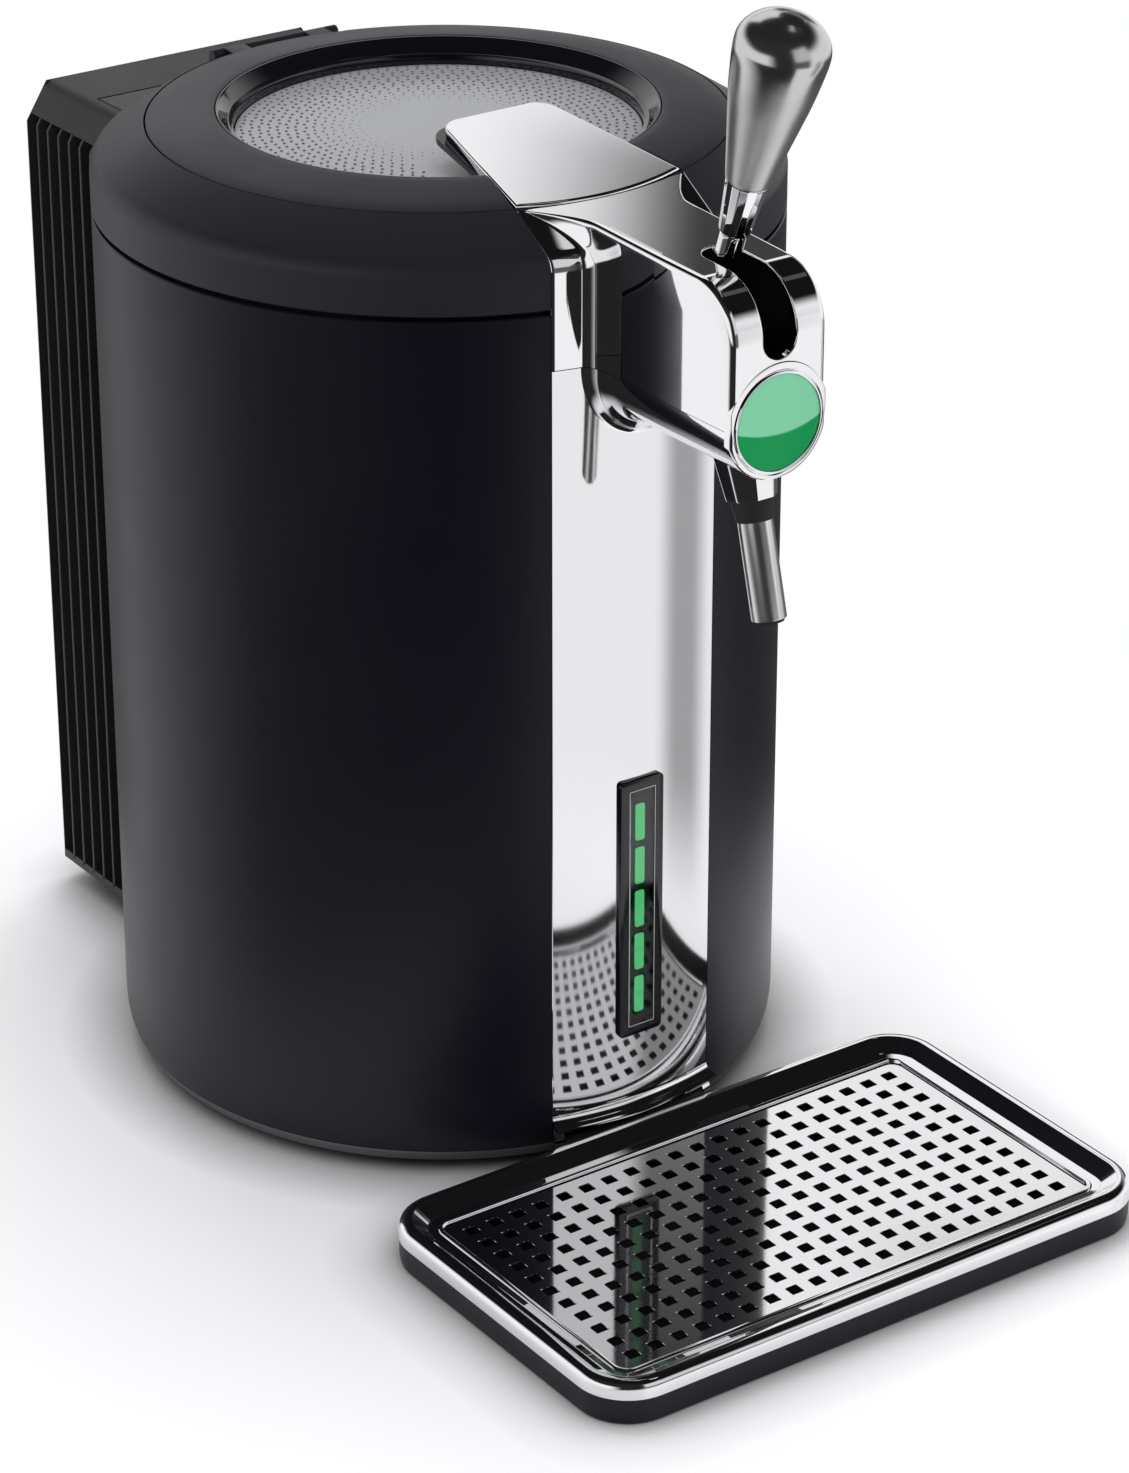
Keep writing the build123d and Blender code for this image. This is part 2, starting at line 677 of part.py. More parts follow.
def latch_plate():
    """The chromed flap, with the knuckle it turns on and the tongue that holds the lid."""
    plate = latch_plan(0) & latch_slab(0, LATCH_T) & disc(LATCH_FRONT_R, 300, BIG + 50)
    knuckle = rod_x(2.9, -18, 18, LATCH_PIVOT_Y, LATCH_PIVOT_Z)
    knuckle += block(-18, 18, LATCH_PIVOT_Y - 2.4, LATCH_PIVOT_Y + 2.4, LATCH_PIVOT_Z, LATCH_PIVOT_Z + 4)
    tongue = block(-8, 8, LATCH_PIVOT_Y - 1.5, LATCH_PIVOT_Y + 1.5, 377, LATCH_PIVOT_Z)
    flap = plate + knuckle + tongue
    return flap - rod_x(HINGE_PIN_R + 0.06, -40, 40, LATCH_PIVOT_Y, LATCH_PIVOT_Z)


def latch_grip():
    """The dark finger grip under the flap's free end, a little wider than the flap."""
    pad = latch_plan(GRIP_WIDER) & latch_slab(-LATCH_T, LATCH_T + GRIP_T) & block(-40, 40, -76, -30, 300, BIG + 50)
    return pad & disc(WINDOW_R - 2.5, 300, BIG + 50)


def latch_leg():
    """The short leg under the grip that rests the flap over the window."""
    slab = latch_slab(-LATCH_T - GRIP_T, LATCH_T + 6.0)
    return latch_plan(-1.0) & slab & block(-40, 40, -73, -58, 300, BIG + 50)


def latch_pin():
    """The pin that the latch turns on."""
    return rod_x(HINGE_PIN_R, -23.3, 23.3, LATCH_PIVOT_Y, LATCH_PIVOT_Z)


def lid_ring():
    """The lid's flat ring, cut for the latch at the front and lugged for the hinge at the back."""
    body = turned(
        (WINDOW_RECESS_R + 0.1, LID_BOTTOM),
        (LID_R - 0.6, LID_BOTTOM),
        (LID_R, LID_BOTTOM + 0.6),
        (LID_R, SEAM_Z - 0.6),
        (LID_R - 0.6, SEAM_Z),
        (WINDOW_RECESS_R + 0.1, LID_CROWN_Z),
    )
    body -= latch_space()
    body -= block(-18.6, 18.6, LATCH_PIVOT_Y - 4.6, LATCH_PIVOT_Y + 4.6, 370, 394)
    lug = rod_x(HINGE_R, 14, 23.8, LID_HINGE_Y, LID_HINGE_Z)
    lug += block(14, 23.8, 106, LID_HINGE_Y, LID_HINGE_Z - HINGE_R + 0.15, LID_HINGE_Z + HINGE_R - 0.6)
    body += mirrored(lug)
    body -= rod_x(HINGE_PIN_R + 0.06, -40, 40, LID_HINGE_Y, LID_HINGE_Z)
    return body - rod_x(HINGE_PIN_R + 0.02, -24, 24, LATCH_PIVOT_Y, LATCH_PIVOT_Z)


def lid_seal():
    """The rubber ring under the lid, open where the latch's tongue passes."""
    seal = ring(LEDGE_R + 3.0, LEDGE_R - 2.0, LEDGE_TOP + 0.35, LID_BOTTOM - 0.02)
    return seal - block(-19, 19, -BIG, -60, 300, BIG)


def lid_bezel():
    """The glossy stepped ring around the window, cut for the latch."""
    bezel = turned(
        (WINDOW_RECESS_R, LID_BOTTOM),
        (WINDOW_RECESS_R, LID_CROWN_Z - 0.5),
        (WINDOW_RECESS_R - 1.0, LID_CROWN_Z - 0.2),
        (STEP_R, STEP_Z),
        (WINDOW_R + 0.2, STEP_Z - 0.6),
        (WINDOW_R - 0.1, WINDOW_Z),
        (WINDOW_R + 0.1, LID_BOTTOM),
    )
    return bezel - latch_space()


def lid_window():
    """The smoked window, slightly domed."""
    edge = WINDOW_R - 0.3
    ball_r = (edge * edge + WINDOW_RISE * WINDOW_RISE) / (2 * WINDOW_RISE)
    cap = Pos(0, 0, WINDOW_Z + WINDOW_RISE - ball_r) * Sphere(ball_r)
    return disc(edge, WINDOW_Z - WINDOW_T, WINDOW_Z + 5) & cap


# ---------------------------------------------------------------- cooling module


def module_outline(inset, y0, y1):
    """The module's outline in back view, chamfered at the top, extruded along Y."""
    half = MODULE_HALF - inset
    crease = CREASE_HALF - inset * 0.55
    points = [
        (-half, MODULE_BOTTOM + inset),
        (half, MODULE_BOTTOM + inset),
        (half, SHOULDER_Z - inset * 0.5),
        (crease, MODULE_TOP - inset),
        (-crease, MODULE_TOP - inset),
        (-half, SHOULDER_Z - inset * 0.5),
    ]
    outline = Polyline(*[(x, y0, z) for x, z in points], close=True)
    return extrude(make_face(outline), y1 - y0, dir=(0, 1, 0))


def rear_housing():
    """The open-fronted casing of the cooling module, with standing fins down both sides."""
    back = MODULE_BACK - COVER_T - 0.1
    casing = module_outline(0, 60, back)
    casing -= module_outline(FIN_DEPTH + 3.0, 50, MODULE_BACK + 5)
    casing -= disc(BARREL_R + 0.3, 0, BIG)
    for index in range(FIN_GAPS):
        high = back - index * FIN_PITCH
        low = high - (FIN_PITCH - FIN_T)
        gap = block(MODULE_HALF - FIN_DEPTH, MODULE_HALF + 5, low, high, MODULE_BOTTOM + 4, SHOULDER_Z + 3)
        casing -= mirrored(gap)
    for x, z in SCREW_PLACES:
        casing -= rod_y(1.42, back - 10.5, back + 5, x, z)
    return casing - hatch_block(0.3)


def hatch_block(grow):
    """The rectangle of the module's roof that lifts out as a hatch."""
    half = CREASE_HALF - 5 + grow
    depth = block(-half, half, 60, 165 + grow, MODULE_TOP - 2.5 - grow, MODULE_TOP + 5)
    return depth


def rear_hatch():
    """The service hatch in the module's roof."""
    hatch = hatch_block(0) & block(-BIG, BIG, 0, BIG, 0, MODULE_TOP)
    return hatch - disc(BARREL_R + 0.8, 0, BIG)


def rear_cover():
    """The back cover, with air slots in front of the fan and cut-outs for inlet and switch."""
    cover = module_outline(0, MODULE_BACK - COVER_T, MODULE_BACK)
    rim = cover.edges().filter_by(lambda e: abs(e.center().Y - MODULE_BACK) < 0.01)
    cover = chamfer(rim, 1.5)
    for index in range(13):
        x = (index - 6) * 7.4
        half_height = FAN_SIDE / 2 - 3 - abs(index - 6) * 1.6
        cover -= block(x - 1.8, x + 1.8, 190, 210, COOLER_Z - half_height, COOLER_Z + half_height)
    cover -= block(INLET_X - 14.1, INLET_X + 14.1, 190, 210, SOCKET_Z - 10.1, SOCKET_Z + 10.1)
    cover -= block(-INLET_X - 10.6, -INLET_X + 10.6, 190, 210, SOCKET_Z - 7.1, SOCKET_Z + 7.1)
    for x, z in SCREW_PLACES:
        cover -= rod_y(1.6, 190, 210, x, z)
        cover -= rod_y(3.1, MODULE_BACK - 1.2, 210, x, z)
    for x, z in BOARD_PLACES:
        cover += rod_y(2.6, BOARD_Y + 1.7, MODULE_BACK - COVER_T + 0.1, x, z)
    return cover


INLET_X = 34.0
SOCKET_Z = 44.0
SCREW_PLACES = ((-62.5, 30), (62.5, 30), (-62.5, 330), (62.5, 330))
BOARD_PLACES = ((-43, 71), (43, 71), (-43, 117), (43, 117))
BOARD_Y = 187.0
ROCKER_Y = 194.0
ROCKER_PIN_R = 1.2


def power_inlet():
    """The recessed mains inlet with its three contacts."""
    body = block(INLET_X - 14, INLET_X + 14, 178, MODULE_BACK - 0.6, SOCKET_Z - 10, SOCKET_Z + 10)
    body -= block(INLET_X - 11.5, INLET_X + 11.5, 183, 210, SOCKET_Z - 7.5, SOCKET_Z + 7.5)
    for x, z in ((-6.5, -2.5), (6.5, -2.5), (0, 2.5)):
        body += block(INLET_X + x - 1, INLET_X + x + 1, 182, 194, SOCKET_Z + z - 2, SOCKET_Z + z + 2)
    return body


def switch_frame():
    """The frame of the mains switch."""
    frame = block(-INLET_X - 10.5, -INLET_X + 10.5, 184, MODULE_BACK - 0.2, SOCKET_Z - 7, SOCKET_Z + 7)
    frame -= block(-INLET_X - 8.5, -INLET_X + 8.5, 186, 210, SOCKET_Z - 5.5, SOCKET_Z + 5.5)
    return frame - Pos(-INLET_X, ROCKER_Y, SOCKET_Z) * Cylinder(ROCKER_PIN_R + 0.05, 12.8)


def power_rocker():
    """The rocker of the mains switch on its two stub pins, standing at its on position."""
    return Pos(-INLET_X, ROCKER_Y, SOCKET_Z) * (Rot(0, 0, -8) * Box(15.0, 6.0, 9.6) + Cylinder(ROCKER_PIN_R, 12.4))


def cover_screws():
    """Four screws in the back cover, sunk in their counterbores."""
    screws = []
    for x, z in SCREW_PLACES:
        screw = rod_y(1.4, MODULE_BACK - 11, MODULE_BACK - 1, x, z)
        screw += rod_y(2.9, MODULE_BACK - 1.15, MODULE_BACK - 0.2, x, z)
        screw -= block(x - 2.0, x + 2.0, MODULE_BACK - 0.7, MODULE_BACK, z - 0.4, z + 0.4)
        screws.append(screw)
    return Compound(children=screws)


def heat_sink():
    """The aluminium heat sink on the hot side of the cooler."""
    sink = block(-50, 50, 147, 151, COOLER_Z - 60, COOLER_Z + 60)
    for index in range(17):
        x = (index - 8) * 6.1
        sink += block(x - 0.8, x + 0.8, 150.5, 165, COOLER_Z - 60, COOLER_Z + 60)
    return sink


def thermoelectric_cooler():
    """The flat cooling element between the cold block and the heat sink."""
    return block(-20, 20, 143, 146.9, COOLER_Z - 20, COOLER_Z + 20)


def cold_block():
    """The aluminium block that draws heat out of the well."""
    bar = block(-25, 25, 70, 142.9, COOLER_Z - 25, COOLER_Z + 25)
    return bar - disc(WELL_R + WELL_WALL + 0.02, 0, BIG)


def fan_frame():
    """The square frame of the fan, with three struts that hold its hub."""
    y0 = MODULE_BACK - COVER_T - FAN_T - 0.1
    frame = block(-FAN_SIDE / 2, FAN_SIDE / 2, y0, y0 + FAN_T, COOLER_Z - FAN_SIDE / 2, COOLER_Z + FAN_SIDE / 2)
    frame -= rod_y(FAN_SIDE / 2 - 2.5, y0 - 5, y0 + 50, 0, COOLER_Z)
    frame += rod_y(15, y0 + FAN_T - 3, y0 + FAN_T, 0, COOLER_Z)
    for index in range(3):
        strut = Pos(0, y0 + FAN_T - 1.5, 0) * Box(5, 3, FAN_SIDE / 2 - 1, align=(Align.CENTER, Align.CENTER, Align.MIN))
        frame += Pos(0, 0, COOLER_Z) * Rot(0, 120 * index + 20, 0) * strut
    return frame - rod_y(1.55, y0 + 2, y0 + 50, 0, COOLER_Z)


def fan_rotor():
    """The fan's hub, shaft and seven pitched blades."""
    y0 = MODULE_BACK - COVER_T - FAN_T - 0.1
    rotor = rod_y(15, y0 + 2, y0 + FAN_T - 3.5, 0, COOLER_Z)
    blade = Pos(0, 0, 13) * Box(16, 1.8, 28.5, align=(Align.CENTER, Align.CENTER, Align.MIN))
    for index in range(7):
        turn = Rot(0, index * 360 / 7, 0)
        rotor += Pos(0, y0 + FAN_T / 2 - 1, COOLER_Z) * turn * Rot(0, 0, 32) * blade
    return rotor + rod_y(1.5, y0 + FAN_T - 4, y0 + FAN_T - 0.5, 0, COOLER_Z)


def control_board():
    """The control board with its larger components, held on the cover's four posts."""
    board = block(-48, 48, BOARD_Y, BOARD_Y + 1.6, 66, 122)
    board += block(-40, -22, BOARD_Y - 14, BOARD_Y + 0.1, 76, 98)
    board += block(8, 34, BOARD_Y - 10, BOARD_Y + 0.1, 78, 96)
    for index in range(3):
        board += rod_y(5, BOARD_Y - 16, BOARD_Y + 0.1, -8 + 13 * index, 108)
    return board


def power_supply():
    """The enclosed power supply on the back cover, above the fan."""
    back = MODULE_BACK - COVER_T - 0.1
    case = block(-45, 45, back - 36, back, 262, 340)
    return case - block(-43, 43, back - 40, back - 35, 264, 338) + block(-38, 38, back - 35.6, back - 34.8, 270, 332)


# ---------------------------------------------------------------- drip tray


def tray_plan(inset, z0, z1):
    """The tray's rounded outline in plan, inset on every side, as a solid."""
    width = 2 * (TRAY_HALF - inset)
    depth = TRAY_DEPTH - 2 * inset
    corner = max(TRAY_CORNER - inset, 2.0)
    face = Pos(0, TRAY_CENTRE, z0) * RectangleRounded(width, depth, corner)
    return extrude(face, z1 - z0)


def tray_base():
    """The black basin that catches the drips."""
    low = Pos(0, TRAY_CENTRE, 0) * RectangleRounded(2 * TRAY_HALF - 4, TRAY_DEPTH - 4, TRAY_CORNER - 2)
    high = Pos(0, TRAY_CENTRE, 2.5) * RectangleRounded(2 * TRAY_HALF - 0.6, TRAY_DEPTH - 0.6, TRAY_CORNER - 0.3)
    basin = loft([low, high]) + tray_plan(0.3, 2.5, TRAY_BASE_H)
    basin += tray_plan(RIM_WIDTH + 0.4, 2.5, PLATE_TOP - PLATE_T - 0.05)
    return basin - tray_plan(RIM_WIDTH + 3.2, 2.2, 40)


def tray_rim():
    """The chromed rim, swept round the tray."""
    path = Pos(0, TRAY_CENTRE, 0) * RectangleRounded(2 * TRAY_HALF, TRAY_DEPTH, TRAY_CORNER)
    wire = path.face().outer_wire()
    y_edge = TRAY_CENTRE - TRAY_DEPTH / 2
    base = TRAY_BASE_H + 0.1
    top = RIM_TOP
    outline = [
        Line((0, y_edge, base), (0, y_edge, top - 3.6)),
        ThreePointArc((0, y_edge, top - 3.6), (0, y_edge + 1.05, top - 1.05), (0, y_edge + 3.6, top)),
        Line((0, y_edge + 3.6, top), (0, y_edge + 5.0, top - 0.3)),
        Line((0, y_edge + 5.0, top - 0.3), (0, y_edge + 11.4, 13.9)),
        Line((0, y_edge + 11.4, 13.9), (0, y_edge + 14.6, 13.5)),
        Line((0, y_edge + 14.6, 13.5), (0, y_edge + 15.4, 14.2)),
        Line((0, y_edge + 15.4, 14.2), (0, y_edge + 16.7, 14.1)),
        Line((0, y_edge + 16.7, 14.1), (0, y_edge + RIM_WIDTH, 13.3)),
        Line((0, y_edge + RIM_WIDTH, 13.3), (0, y_edge + RIM_WIDTH, base)),
        Line((0, y_edge + RIM_WIDTH, base), (0, y_edge, base)),
    ]
    return sweep(make_face(outline), path=wire)


def drip_plate():
    """The perforated plate that the glass stands on."""
    plate = RectangleRounded(2 * PLATE_HALF, PLATE_DEPTH, 4.2)
    plate -= GridLocations(HOLE_PITCH_X, HOLE_PITCH_Y, HOLE_COLUMNS, HOLE_ROWS) * Rectangle(HOLE, HOLE)
    return extrude(Pos(0, TRAY_CENTRE, PLATE_TOP - PLATE_T) * plate, PLATE_T)


# ---------------------------------------------------------------- write every part


def rubber_feet():
    """The four rubber feet."""
    return Compound(children=foot_group(FOOT_R, 0, 6.4))


PARTS = (
    barrel_shell, base_ring, base_plate, rubber_feet, base_screws, seam_ring, upper_collar, lid_hinge_pin,
    keg_well, well_gasket, inner_liner, insulation,
    front_panel, panel_lip, panel_feet, display_bezel, display_pane, display_board, light_bars,
    tap_upper_shell, tap_lower_shell, badge_base, badge_ring, badge_disc,
    spout_collar, spout_seal, spout_tube, spout_tip,
    valve_body, valve_plunger, lever_pin, lever_stem, lever_neck, lever_knob,
    latch_plate, latch_grip, latch_leg, latch_pin, lid_ring, lid_seal, lid_bezel, lid_window,
    rear_housing, rear_hatch, rear_cover, power_inlet, switch_frame, power_rocker, cover_screws,
    heat_sink, thermoelectric_cooler, cold_block, fan_frame, fan_rotor, control_board, power_supply,
    tray_base, tray_rim, drip_plate,
)


def save(name, shape):
    """Moves a part into the row's frame and writes it as parts/NAME.step."""
    export_step(Pos(0, AXIS_Y, 0) * shape, f"parts/{name}.step")


os.makedirs("parts", exist_ok=True)
for make in PARTS:
    save(make.__name__, make())
print("barrel axis at y", AXIS_Y)
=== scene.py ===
# %% [markdown]
# # A mini keg dispenser, piece by piece
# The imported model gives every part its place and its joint. This lesson dresses it: each visible part is
# drawn again as a smooth surface with softened edges, because a polished or satin skin shows every facet,
# and then each part gets a finish. Everything is worked out in millimetres about the barrel's axis and
# placed at the end.
# %% Load the frame
import json
import math

import bmesh
import bpy
import numpy as np
from mathutils import Matrix, Vector


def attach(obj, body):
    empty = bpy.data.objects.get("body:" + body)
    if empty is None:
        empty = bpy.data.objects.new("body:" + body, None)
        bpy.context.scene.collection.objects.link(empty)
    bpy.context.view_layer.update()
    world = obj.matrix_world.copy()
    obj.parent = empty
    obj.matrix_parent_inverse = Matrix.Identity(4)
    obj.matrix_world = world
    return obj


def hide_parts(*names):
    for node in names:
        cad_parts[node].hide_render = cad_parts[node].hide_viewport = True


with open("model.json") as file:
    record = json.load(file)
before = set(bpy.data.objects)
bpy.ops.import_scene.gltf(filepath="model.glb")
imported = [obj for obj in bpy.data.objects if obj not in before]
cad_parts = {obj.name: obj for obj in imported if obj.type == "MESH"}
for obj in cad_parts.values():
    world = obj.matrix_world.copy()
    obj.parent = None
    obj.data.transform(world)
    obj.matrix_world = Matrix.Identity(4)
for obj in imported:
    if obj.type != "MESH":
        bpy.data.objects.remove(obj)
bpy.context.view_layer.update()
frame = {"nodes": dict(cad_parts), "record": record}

# %% [markdown]
# ## Sizes
# The same named sizes as the solids use, so that each surface lands on its own part. AXIS_Y is where the
# barrel's axis stands in the shared frame.
# %% Sizes in millimetres
AXIS_Y = 49.15
BARREL_R = 135.0
COLLAR_BOTTOM, BEVEL_FOOT = 362.8, 381.6
SEAM_R, SEAM_Z = 113.4, 395.3
BEVEL_SOFT = 9.0
PANEL_HALF, PARTING_Z = 37.8, 339.2
TAP_HALF, TAP_FRONT, NOSE_R = 22.0, -217.0, 22.0
TAP_TOP_REAR, TAP_TOP_FRONT = 395.1, 392.6
NAN = np.nan

# %% [markdown]
# ## The camera
# A long lens keeps the upright lines of the barrel nearly parallel. The camera stands in front, to the left
# and above, and its three axes are written out as a matrix, which is easier to check than three turned
# angles.
# %% Camera
FRAME_HEIGHT, FOCAL_LENGTH, SIDE_SHIFT = 1473, 4745.81, -2.69  # all three in picture dots
SENSOR_MM = 36.0
CAMERA_PLACE = (-0.9686, -1.4586 + AXIS_Y / 1000, 0.9806)
azimuth, elevation = math.radians(-35.21), math.radians(25.97)
right = Vector((math.cos(azimuth), math.sin(azimuth), 0))
away = math.cos(elevation)
back = Vector((math.sin(azimuth) * away, -math.cos(azimuth) * away, math.sin(elevation)))
up = back.cross(right)
camera = bpy.data.objects.new("camera", bpy.data.cameras.new("camera"))
bpy.context.scene.collection.objects.link(camera)
turned = Matrix((right, up, back)).transposed().to_4x4()
camera.matrix_world = Matrix.Translation(CAMERA_PLACE) @ turned
camera.data.sensor_width = SENSOR_MM
camera.data.lens = FOCAL_LENGTH * SENSOR_MM / FRAME_HEIGHT
camera.data.shift_x = SIDE_SHIFT / FRAME_HEIGHT
camera.data.clip_start, camera.data.clip_end = 0.05, 60
bpy.context.scene.camera = camera
bpy.context.scene.view_settings.view_transform = "Standard"
print("lens", round(camera.data.lens, 1), "mm")

# %% [markdown]
# ## From grids of points to a piece
# Every new surface is a grid: rows of points, each row a line along the surface. Quads between neighbouring
# rows and columns are simple index arithmetic, so no point is ever visited in a loop. A patch also says
# which side of it is outside, by naming a place that lies inside, so its faces can be turned the right way.
# %% Patches and pieces
def grid_faces(rows, cols, wrap_rows=False, wrap_cols=False):
    """Quads between neighbouring rows and columns: corner (i, j) is point i * cols + j."""
    i, j = np.meshgrid(np.arange(rows - (not wrap_rows)), np.arange(cols - (not wrap_cols)), indexing="ij")
    n, m = (i + 1) % rows, (j + 1) % cols
    return np.stack([i * cols + j, i * cols + m, n * cols + m, n * cols + j], -1).reshape(-1, 4)


def patch(points, inside, wrap_rows=False, wrap_cols=False):
    """A grid (rows, columns, 3) as points and faces, turned away from `inside`; nan there skips an axis."""
    points = np.asarray(points, float)
    faces = grid_faces(points.shape[0], points.shape[1], wrap_rows, wrap_cols)
    flat = points.reshape(-1, 3)
    corner = flat[faces]
    normal = np.cross(corner[:, 2] - corner[:, 0], corner[:, 3] - corner[:, 1])
    away = np.nan_to_num(corner.mean(1) - np.asarray(inside, float))
    if (normal * away).sum() < 0:
        faces = faces[:, ::-1]
    return flat, faces


def cap(ring, inside):
    """One flat many-sided face that closes a ring of points."""
    ring = np.asarray(ring, float)
    middle = ring.mean(0)
    normal = np.cross(ring - middle, np.roll(ring, -1, 0) - middle).sum(0)
    order = np.arange(len(ring))
    if normal @ np.nan_to_num(middle - np.asarray(inside, float)) < 0:
        order = order[::-1]
    return ring, order[None, :]


MERGE_MM = 0.004


def piece(name, patches, body, material, replaces=(), sharp=32):
    """Joins patches into one smooth mesh.

    Points closer than MERGE_MM become one, and edges over `sharp` degrees stay crisp.
    """
    starts = np.cumsum([0] + [len(points) for points, _ in patches])
    points = np.concatenate([p for p, _ in patches])
    points = (points + (0, AXIS_Y, 0)) / 1000
    faces = [face for (_, group), start in zip(patches, starts) for face in (group + start).tolist()]
    mesh = bpy.data.meshes.new(name)
    mesh.from_pydata(points.tolist(), [], faces)
    work = bmesh.new()
    work.from_mesh(mesh)
    bmesh.ops.remove_doubles(work, verts=work.verts, dist=MERGE_MM / 1000)
    bmesh.ops.dissolve_degenerate(work, edges=work.edges, dist=MERGE_MM / 4000)
    work.to_mesh(mesh)
    work.free()
    mesh.shade_smooth()
    mesh.set_sharp_from_angle(angle=math.radians(sharp))
    made = bpy.data.objects.new(name, mesh)
    bpy.context.scene.collection.objects.link(made)
    mesh.materials.append(material)
    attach(made, body)
    if replaces:
        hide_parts(*replaces)
    print(f"{name}: {len(mesh.polygons)} faces on {body}")
    return made


def spin(profile, inside=(0, 0, NAN), turns=256, start=0.0, end=2 * math.pi):
    """A (radius, height) line turned about the barrel's axis: x = r sin a, y = -r cos a, front at a = 0."""
    profile = np.asarray(profile, float)
    whole = abs(end - start - 2 * math.pi) < 1e-9
    angle = np.linspace(start, end, turns, endpoint=not whole)
    r, z = profile[:, :1], profile[:, 1:]
    grid = np.stack([r * np.sin(angle), -r * np.cos(angle), z + 0 * angle], -1)
    return patch(grid, inside, wrap_cols=whole)


def turn_about(part, origin, tilt):
    """Points of an upright spun part leaned forward by `tilt` degrees and moved to its origin."""
    flat, faces = part
    c, s = math.cos(math.radians(tilt)), math.sin(math.radians(tilt))
    leaned = np.stack([flat[:, 0], flat[:, 1] * c - flat[:, 2] * s, flat[:, 1] * s + flat[:, 2] * c], -1)
    return leaned + np.asarray(origin, float), faces


def arc(centre, radius, start, end, steps):
    """Points of a circle's arc, by angle in degrees."""
    angle = np.radians(np.linspace(start, end, steps))
    return np.stack([centre[0] + radius * np.cos(angle), centre[1] + radius * np.sin(angle)], -1)


def rounded_line(points, radii, steps=6):
    """A broken line with arcs for corners; an arc's tangent points lie r tan(half turn) from its corner."""
    points = np.asarray(points, float)
    made = [points[:1]]
    for before, at, after, radius in zip(points[:-2], points[1:-1], points[2:], radii):
        come = (at - before) / np.linalg.norm(at - before)
        go = (after - at) / np.linalg.norm(after - at)
        turn = math.acos(np.clip(come @ go, -1, 1))
        if radius <= 0 or turn < 1e-4:
            made.append(at[None])
            continue
        reach = radius * math.tan(turn / 2)
        first, last = at - come * reach, at + go * reach
        left = np.array([-come[1], come[0]]) * np.sign(come[0] * go[1] - come[1] * go[0])
        centre = first + left * radius
        u = (first - centre) / radius
        share = np.linspace(0, turn, steps)[:, None]
        made.append(centre + radius * (np.cos(share) * u + np.sin(share) * come))
        made[-1][-1] = last
    made.append(points[-1:])
    return np.concatenate(made)


# %% [markdown]
# ## Plates and blocks with softened edges
# A moulded block is an outline raised to a height. Its edges are never knife sharp: a quarter circle
# between the top and the side catches a thin line of light. The outline is moved inwards along its own
# corner bisectors to make the rings of that quarter circle, and one more ring just inside keeps the flat
# top's shading flat.
# %% Outlines and prisms
def rounded_rect(width, depth, radius, steps=10):
    """A rectangle with quarter-circle corners, anticlockwise, centred on zero."""
    x, y = width / 2 - radius, depth / 2 - radius
    corners = ((x, y, 0), (-x, y, 90), (-x, -y, 180), (x, -y, 270))
    return np.concatenate([arc((cx, cy), radius, a, a + 90, steps) for cx, cy, a in corners])


def inset(outline, distance):
    """Each point moves along its corner's bisector so that every side moves in by the same distance."""
    before, after = np.roll(outline, 1, 0), np.roll(outline, -1, 0)
    a, b = outline - before, after - outline
    a /= np.linalg.norm(a, axis=1, keepdims=True)
    b /= np.linalg.norm(b, axis=1, keepdims=True)
    normal = np.stack([-(a + b)[:, 1], (a + b)[:, 0]], -1)
    normal /= np.linalg.norm(normal, axis=1, keepdims=True)
    cosine = np.clip((normal * np.stack([-a[:, 1], a[:, 0]], -1)).sum(1), 0.35, 1)
    return outline + normal * (distance / cosine)[:, None]


FLAT_RING = 0.3


def edge_rings(low, high, soft_low, soft_high, steps=4):
    """(inset, height) pairs up a softened side: quarter circles at the foot and at the top."""
    quarter = np.radians(np.linspace(0, 90, steps + 1))
    bends = list(zip(np.sin(quarter), np.cos(quarter)))
    rings = [(soft_low + FLAT_RING, low)]
    if soft_low > 0:
        rings += [(soft_low * (1 - s), low + soft_low * (1 - c)) for s, c in bends]
    else:
        rings.append((0, low))
    if soft_high > 0:
        rings += [(soft_high * (1 - c), high - soft_high * (1 - s)) for s, c in bends]
    else:
        rings.append((0, high))
    return rings + [(soft_high + FLAT_RING, high)]


def prism(outline, low, high, soft_low=0.0, soft_high=0.0, warp=None, ends=True, steps=4):
    """A block: the outline (x, y) at each (inset, height) ring, both ends closed, then bent by warp."""
    steps_up = edge_rings(low, high, soft_low, soft_high, steps)
    rings = np.array([np.column_stack([inset(outline, d), np.full(len(outline), z)]) for d, z in steps_up])
    middle = np.append(outline.mean(0), (low + high) / 2)
    parts = [patch(rings, middle, wrap_cols=True)]
    if ends:
        parts += [cap(rings[0], middle), cap(rings[-1], middle)]
    if warp:
        parts = [(warp(points), faces) for points, faces in parts]
    return parts


def axes(order, origin=(0, 0, 0)):
    """A warp that renames axes: order "xzy" puts the outline in the x-z plane and its height along y."""
    index = ["xyz".index(letter.lower()) for letter in order]
    sign = np.array([-1.0 if letter.isupper() else 1.0 for letter in order])

    def bend(points):
        out = np.zeros_like(points)
        out[:, index] = points * sign
        return out + np.asarray(origin, float)

    return bend


def wrap_on(radius):
    """A warp onto the barrel's front: x runs round it as x = r sin a, y is height, z stands off the skin."""
    def bend(points):
        r = radius + points[:, 2]
        x = points[:, 0] * r / radius
        return np.stack([x, -np.sqrt(np.maximum(r * r - x ** 2, 0)), points[:, 1]], -1)

    return bend


